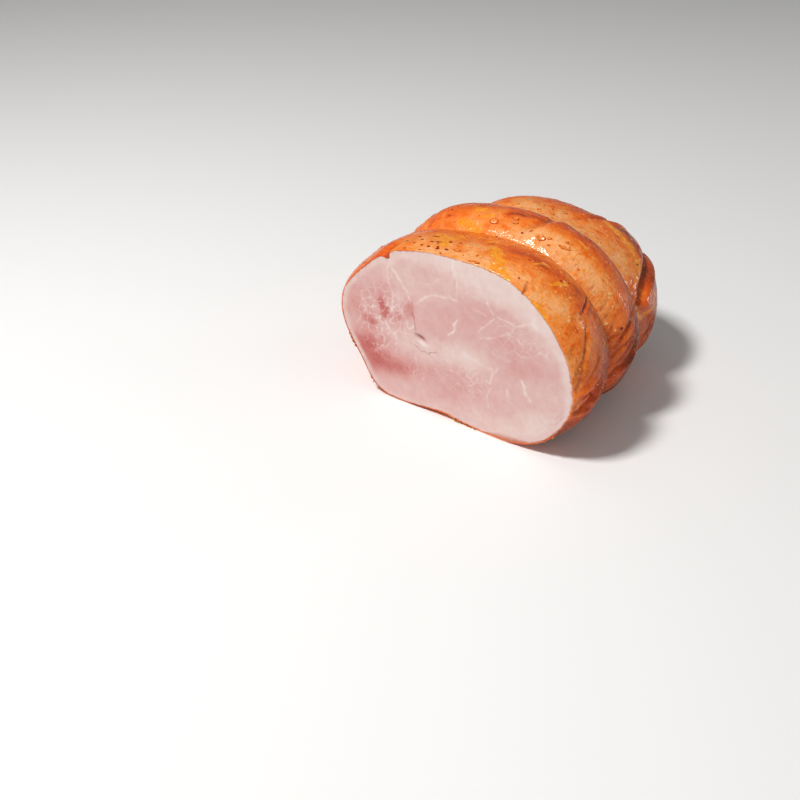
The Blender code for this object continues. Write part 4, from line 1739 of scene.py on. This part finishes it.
@dataclass(frozen=True)
class SpotSkin:
    """The skin of a small spot, from its ring to its crown.

    Blisters and pimples are thin skin over clear fat, scabs are burnt skin, flecks are set
    fat, crusts are torn bits of rind and fat, and beads are small domes painted pale as glints.
    """

    name: str
    ring: str
    crown: str
    roughness: float
    reach: Pair = (0.25, 0.65)
    coat: float = 0.5
    coat_roughness: float = 0.08
    specular: float = 0.25

    def build(self) -> bpy.types.Material:
        """Build the material.

        Returns:
            The material.
        """
        material, tree, shader = new_material(self.name)
        crown = add_node(tree, "ShaderNodeAttribute", attribute_name="crown").outputs["Fac"]
        ramp = add_node(tree, "ShaderNodeValToRGB", {"Fac": crown},
                        ((self.reach[0], self.ring), (self.reach[1], self.crown)))
        tree.links.new(ramp.outputs["Color"], shader.inputs["Base Color"])
        set_inputs(shader, {
            "Roughness": self.roughness, "Specular IOR Level": self.specular,
            "Coat Weight": self.coat, "Coat Roughness": self.coat_roughness})
        return material


@dataclass(frozen=True)
class CuredMeat:
    """Cooked, cured pork, sliced with a long knife.

    The cut is smooth and damp, with a soft broad sheen. Its colour runs from the white of fat
    through pale to deep pink, and light sinks a little way into it.
    """

    name: str = "cured_pork_cut"
    tones: tuple[tuple[float, str], ...] = (
        (0.0, "#F2E0DA"), (0.25, "#EAD2CB"), (0.5, "#DFB5AF"), (0.75, "#D6958F"), (1.0, "#C46660"))
    # Colour of the cracks, and of the painted shade in the pit
    crack: str = "#B04A44"
    stain: str = "#C4642E"
    roughness: float = 0.42
    ior: float = 1.40
    glow: float = 0.2
    glow_radius: tuple[float, float, float] = (1.0, 0.45, 0.35)
    glow_depth: float = 2.5 * MM
    cloud_mm: float = 4.0
    fibre_mm: float = 1.3
    cell_mm: float = 7.5
    cell_bend: float = 5.0 * MM
    thread_slope: Pair = (0.085, 0.01)
    thread_most: float = 0.62
    thread_breaks: Pair = (0.38, 0.58)
    seam_share: float = 0.50
    cloud_share: float = 0.16
    fibre_share: float = 0.10
    tone_start: float = -0.13
    crack_share: float = 0.75
    stain_wobble: float = -2.2
    stain_start: float = 1.1
    stain_slope: Pair = (1.0, 0.2)
    stain_most: float = 0.8
    relief_share: float = 1.4
    relief_strength: float = 0.25
    relief_depth: float = 0.25 * MM

    def tone(self, tree: bpy.types.NodeTree, fields: Sockets) -> bpy.types.NodeSocket:
        """Add the meat's tone, with its net and seams of fat and its grain.

        Args:
            tree: The material's tree.
            fields: The face's fields, its clouds, its fibres and its places.

        Returns:
            The output that holds the tone.
        """
        bent = add_node(tree, "ShaderNodeVectorMath", {
            0: fields["cloud_colour"], 1: (self.cell_bend,) * 3, 2: fields["space"]},
            operation="MULTIPLY_ADD")
        net = add_node(tree, "ShaderNodeTexVoronoi", {
            "Vector": bent.outputs[0], "Scale": 1.0 / (self.cell_mm * MM)}, feature="DISTANCE_TO_EDGE")
        thread = add_node(tree, "ShaderNodeMapRange", {
            "Value": net.outputs["Distance"], "From Min": self.thread_slope[0],
            "From Max": self.thread_slope[1], "To Max": self.thread_most})
        kept = add_node(tree, "ShaderNodeMapRange", {
            "Value": fields["cloud"], "From Min": self.thread_breaks[0],
            "From Max": self.thread_breaks[1]})
        threads = add_node(tree, "ShaderNodeMath", {0: thread.outputs[0], 1: kept.outputs[0]},
                           operation="MULTIPLY")
        placed = add_node(tree, "ShaderNodeMath", {0: threads.outputs[0], 1: fields["cells"]},
                          operation="MULTIPLY")
        seams = add_node(tree, "ShaderNodeMath", {0: fields["seam"], 1: self.seam_share},
                         operation="MULTIPLY")
        white = add_node(tree, "ShaderNodeMath", {0: seams.outputs[0], 1: placed.outputs[0]},
                         operation="MAXIMUM")
        pink = add_node(tree, "ShaderNodeMath", {0: fields["tone"], 1: white.outputs[0]},
                        operation="SUBTRACT")
        clouded = add_node(tree, "ShaderNodeMath", {
            0: fields["cloud"], 1: self.cloud_share, 2: pink.outputs[0]}, operation="MULTIPLY_ADD")
        grained = add_node(tree, "ShaderNodeMath", {
            0: fields["fibre"], 1: self.fibre_share, 2: clouded.outputs[0]}, operation="MULTIPLY_ADD")
        return add_node(tree, "ShaderNodeMath", {0: grained.outputs[0], 1: self.tone_start}).outputs[0]

    def colour(self, tree: bpy.types.NodeTree, fields: Sockets) -> bpy.types.NodeSocket:
        """Mix the meat's colour from its tone, the smoke's stain, the cracks and painted shade in the pit.

        Args:
            tree: The material's tree.
            fields: The face's fields, its clouds, its fibres and its places.

        Returns:
            The output that holds the colour.
        """
        meat = add_node(tree, "ShaderNodeValToRGB", {"Fac": self.tone(tree, fields)}, self.tones)
        wobble = add_node(tree, "ShaderNodeMath", {
            0: fields["cloud"], 1: self.stain_wobble, 2: fields["rim_gap"]}, operation="MULTIPLY_ADD")
        inside = add_node(tree, "ShaderNodeMath", {0: wobble.outputs[0], 1: self.stain_start})
        ratio = add_node(tree, "ShaderNodeMath", {0: inside.outputs[0], 1: fields["stain"]},
                         operation="DIVIDE")
        smoked = add_node(tree, "ShaderNodeMapRange", {
            "Value": ratio.outputs[0], "From Min": self.stain_slope[0],
            "From Max": self.stain_slope[1], "To Max": self.stain_most})
        stained = add_node(tree, "ShaderNodeMix", {
            0: smoked.outputs[0], 6: meat.outputs["Color"], 7: linear(self.stain)}, data_type="RGBA")
        # Cracks and the painted shade in the pit
        torn = add_node(tree, "ShaderNodeMath", {0: fields["crack"], 1: self.crack_share},
                        operation="MULTIPLY")
        cracked = add_node(tree, "ShaderNodeMix", {
            0: torn.outputs[0], 6: stained.outputs[2], 7: linear(self.crack)}, data_type="RGBA")
        return cracked.outputs[2]

    def build(self) -> bpy.types.Material:
        """Build the material.

        Returns:
            The material.
        """
        material, tree, shader = new_material(self.name)
        fields = {name: add_node(tree, "ShaderNodeAttribute", attribute_name=name).outputs["Fac"]
                  for name in ("tone", "seam", "crack", "cells", "rim_gap", "stain")}
        fields["space"] = add_node(tree, "ShaderNodeTexCoord").outputs["Object"]
        clouds = add_node(tree, "ShaderNodeTexNoise", {
            "Vector": fields["space"], "Scale": 1.0 / (self.cloud_mm * MM), "Detail": 3.0,
            "Roughness": 0.6})
        fields["cloud"] = clouds.outputs["Fac"]
        fields["cloud_colour"] = clouds.outputs["Color"]
        fields["fibre"] = add_node(tree, "ShaderNodeTexNoise", {
            "Vector": fields["space"], "Scale": 1.0 / (self.fibre_mm * MM), "Detail": 2.0}).outputs["Fac"]
        tree.links.new(self.colour(tree, fields), shader.inputs["Base Color"])
        height = add_node(tree, "ShaderNodeMath", {
            0: fields["cloud"], 1: self.relief_share, 2: fields["fibre"]}, operation="MULTIPLY_ADD")
        bump = add_node(tree, "ShaderNodeBump", {
            "Height": height.outputs[0], "Strength": self.relief_strength, "Distance": self.relief_depth})
        tree.links.new(bump.outputs["Normal"], shader.inputs["Normal"])
        set_inputs(shader, {
            "Roughness": self.roughness, "IOR": self.ior, "Subsurface Weight": self.glow,
            "Subsurface Radius": self.glow_radius, "Subsurface Scale": self.glow_depth})
        return material


class Softness(Enum):
    """How large a studio lamp's face is, in metres."""

    SOFT = 0.30
    WIDE = 1.6


@dataclass(frozen=True)
class Lamp:
    """A square lamp: its place in metres, its power in watts and how soft its light is."""

    name: str
    at: tuple[float, float, float]
    watts: float
    softness: Softness


LAMPS = (
    Lamp("key", (-0.38, -0.76, 1.50), 23.0, Softness.SOFT),
    Lamp("fill", (0.6, -1.2, 0.9), 2.0, Softness.WIDE),
    Lamp("rim", (1.05, 1.35, 0.30), 4.0, Softness.SOFT),
)


@dataclass
class Studio:
    """A pale floor, soft lamps and the camera."""

    eye: tuple[float, float, float] = (0.4019, -0.6979, 0.46)
    heading: tuple[float, float] = (-0.602, 0.799)
    pitch: float = 31.7
    lens: float = 51.35
    sensor: float = 36.0
    nearest: float = 0.01
    floor_half: float = 6.0
    floor_colour: str = "#FAF9F7"
    floor_roughness: float = 0.9
    lamps_face: tuple[float, float, float] = (0.0, 0.0, 0.06)
    sky_colour: str = "#FFFFFF"
    sky_strength: float = 0.19

    def floor(self) -> None:
        """Lay a floor of matt white backdrop paper just under the ham."""
        half = self.floor_half
        mesh = bpy.data.meshes.new("studio_floor")
        corners = [(-half, -half, 0.0), (half, -half, 0.0), (half, half, 0.0), (-half, half, 0.0)]
        mesh.from_pydata(corners, [], [(0, 1, 2, 3)])
        material, _, shader = new_material("matt_backdrop_paper")
        set_inputs(shader, {"Base Color": linear(self.floor_colour), "Roughness": self.floor_roughness})
        mesh.materials.append(material)
        new_object("studio_floor", mesh)

    def hang(self, lamp: Lamp) -> None:
        """Hang a lamp so that it faces the ham.

        Args:
            lamp: The lamp.
        """
        light = bpy.data.lights.new(lamp.name, "AREA")
        light.energy = lamp.watts
        light.size = lamp.softness.value
        thing = new_object(lamp.name, light)
        thing.location = lamp.at
        aim = Vector(self.lamps_face) - Vector(lamp.at)
        thing.rotation_euler = aim.to_track_quat("-Z", "Y").to_euler()

    def camera(self) -> None:
        """Place the camera at the photograph's viewing angle."""
        data = bpy.data.cameras.new("camera")
        data.lens = self.lens
        data.sensor_width = self.sensor
        data.clip_start = self.nearest
        thing = new_object("camera", data)
        thing.location = self.eye
        level = Vector((*self.heading, 0.0)).normalized()
        pitch = math.radians(self.pitch)
        look = level * math.cos(pitch) - Vector((0.0, 0.0, 1.0)) * math.sin(pitch)
        thing.rotation_euler = look.to_track_quat("-Z", "Y").to_euler()
        bpy.context.scene.camera = thing

    def build(self) -> None:
        """Build the studio."""
        self.floor()
        self.camera()
        for lamp in LAMPS:
            self.hang(lamp)
        world = bpy.data.worlds.new("studio")
        world.use_nodes = True
        set_inputs(world.node_tree.nodes["Background"], {
            "Color": linear(self.sky_colour), "Strength": self.sky_strength})
        bpy.context.scene.world = world
        bpy.context.scene.view_settings.view_transform = "Standard"


def place(piece: bpy.types.Object) -> None:
    """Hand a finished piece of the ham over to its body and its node.

    Args:
        piece: The piece.
    """
    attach(piece, "root")
    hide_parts("ham")
    LOG.info("%s: %d faces", piece.name, len(piece.data.polygons))


def spot_kinds(skin: Skin) -> list[tuple[Spots, SpotSkin]]:
    """List the kinds of spot on the rind with their skins.

    Args:
        skin: The rind that they sit on.

    Returns:
        The spots and the skin of each kind.
    """
    def on_top(turn: Array) -> Array:
        """Give the chance of a spot at an angle, which is best near the top."""
        return 0.15 + 0.85 * bell(turn, 95.0, 55.0)

    def on_right(turn: Array) -> Array:
        """Give the chance of a spot at an angle, which is best on the upper right."""
        return 0.12 + 0.88 * bell(turn, 30.0, 50.0)

    return [
        (Spots("ham_blisters", skin, on_top, seed=3, rise=0.66 * MM, placed=BLISTERS,
               raggedness=1.7 * MM, lump=3.2 * MM, roundness=4),
         SpotSkin("blistered_pork_skin", "#B8400A", "#F28A34", 0.14, (0.42, 0.80), 0.35)),
        (Spots("ham_pimples", skin, on_top, seed=3, rise=0.36 * MM, scattered=90, size=(1.0, 2.4)),
         SpotSkin("pimpled_pork_skin", "#C9500E", "#F09040", 0.16, (0.30, 0.75))),
        (Spots("ham_scabs", skin, on_top, seed=5, rise=0.22 * MM, placed=SCABS, scattered=110,
               size=(0.8, 2.1), slimness=0.7, raggedness=0.6 * MM),
         SpotSkin("burnt_pork_skin", "#C84E10", "#8A2006", 0.5, (0.05, 0.55), 0.05)),
        (Spots("ham_fat_flecks", skin, on_right, seed=7, rise=0.20 * MM, placed=FLECKS, scattered=260,
               size=(0.9, 2.6), slimness=0.42, raggedness=0.85 * MM),
         SpotSkin("set_pork_fat", "#EC8426", "#FFBE74", 0.22, (0.10, 0.75), 0.4)),
        (Spots("ham_crusts", skin, on_right, seed=13, rise=0.9 * MM, placed=CRUSTS,
               raggedness=1.9 * MM, lump=1.8 * MM, roundness=3),
         SpotSkin("torn_rim_crust", "#A03A0C", "#F09A34", 0.3, (0.0, 0.7), 0.3)),
        # Small glossy domes whose pale colour is a painted glint
        (Spots("ham_glint_beads", skin, on_right, seed=9, rise=0.25 * MM, scattered=240,
               size=(0.5, 1.1), slimness=0.8, raggedness=0.2 * MM),
         SpotSkin("painted_glint_beads", "#EFA368", "#F9D6B2", 0.25)),
    ]


def main() -> None:
    """Build the ham and its studio."""
    logging.basicConfig(level=logging.INFO, format="%(message)s")
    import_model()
    Studio().build()
    rind = Rind(Skin(HamForm()))
    place(rind.build(SmokedRind().build()))
    for spots, skin in spot_kinds(rind.skin):
        place(spots.build(skin.build()))
    place(CutFace(rind).build(CuredMeat().build()))


if __name__ == "__main__":
    main()
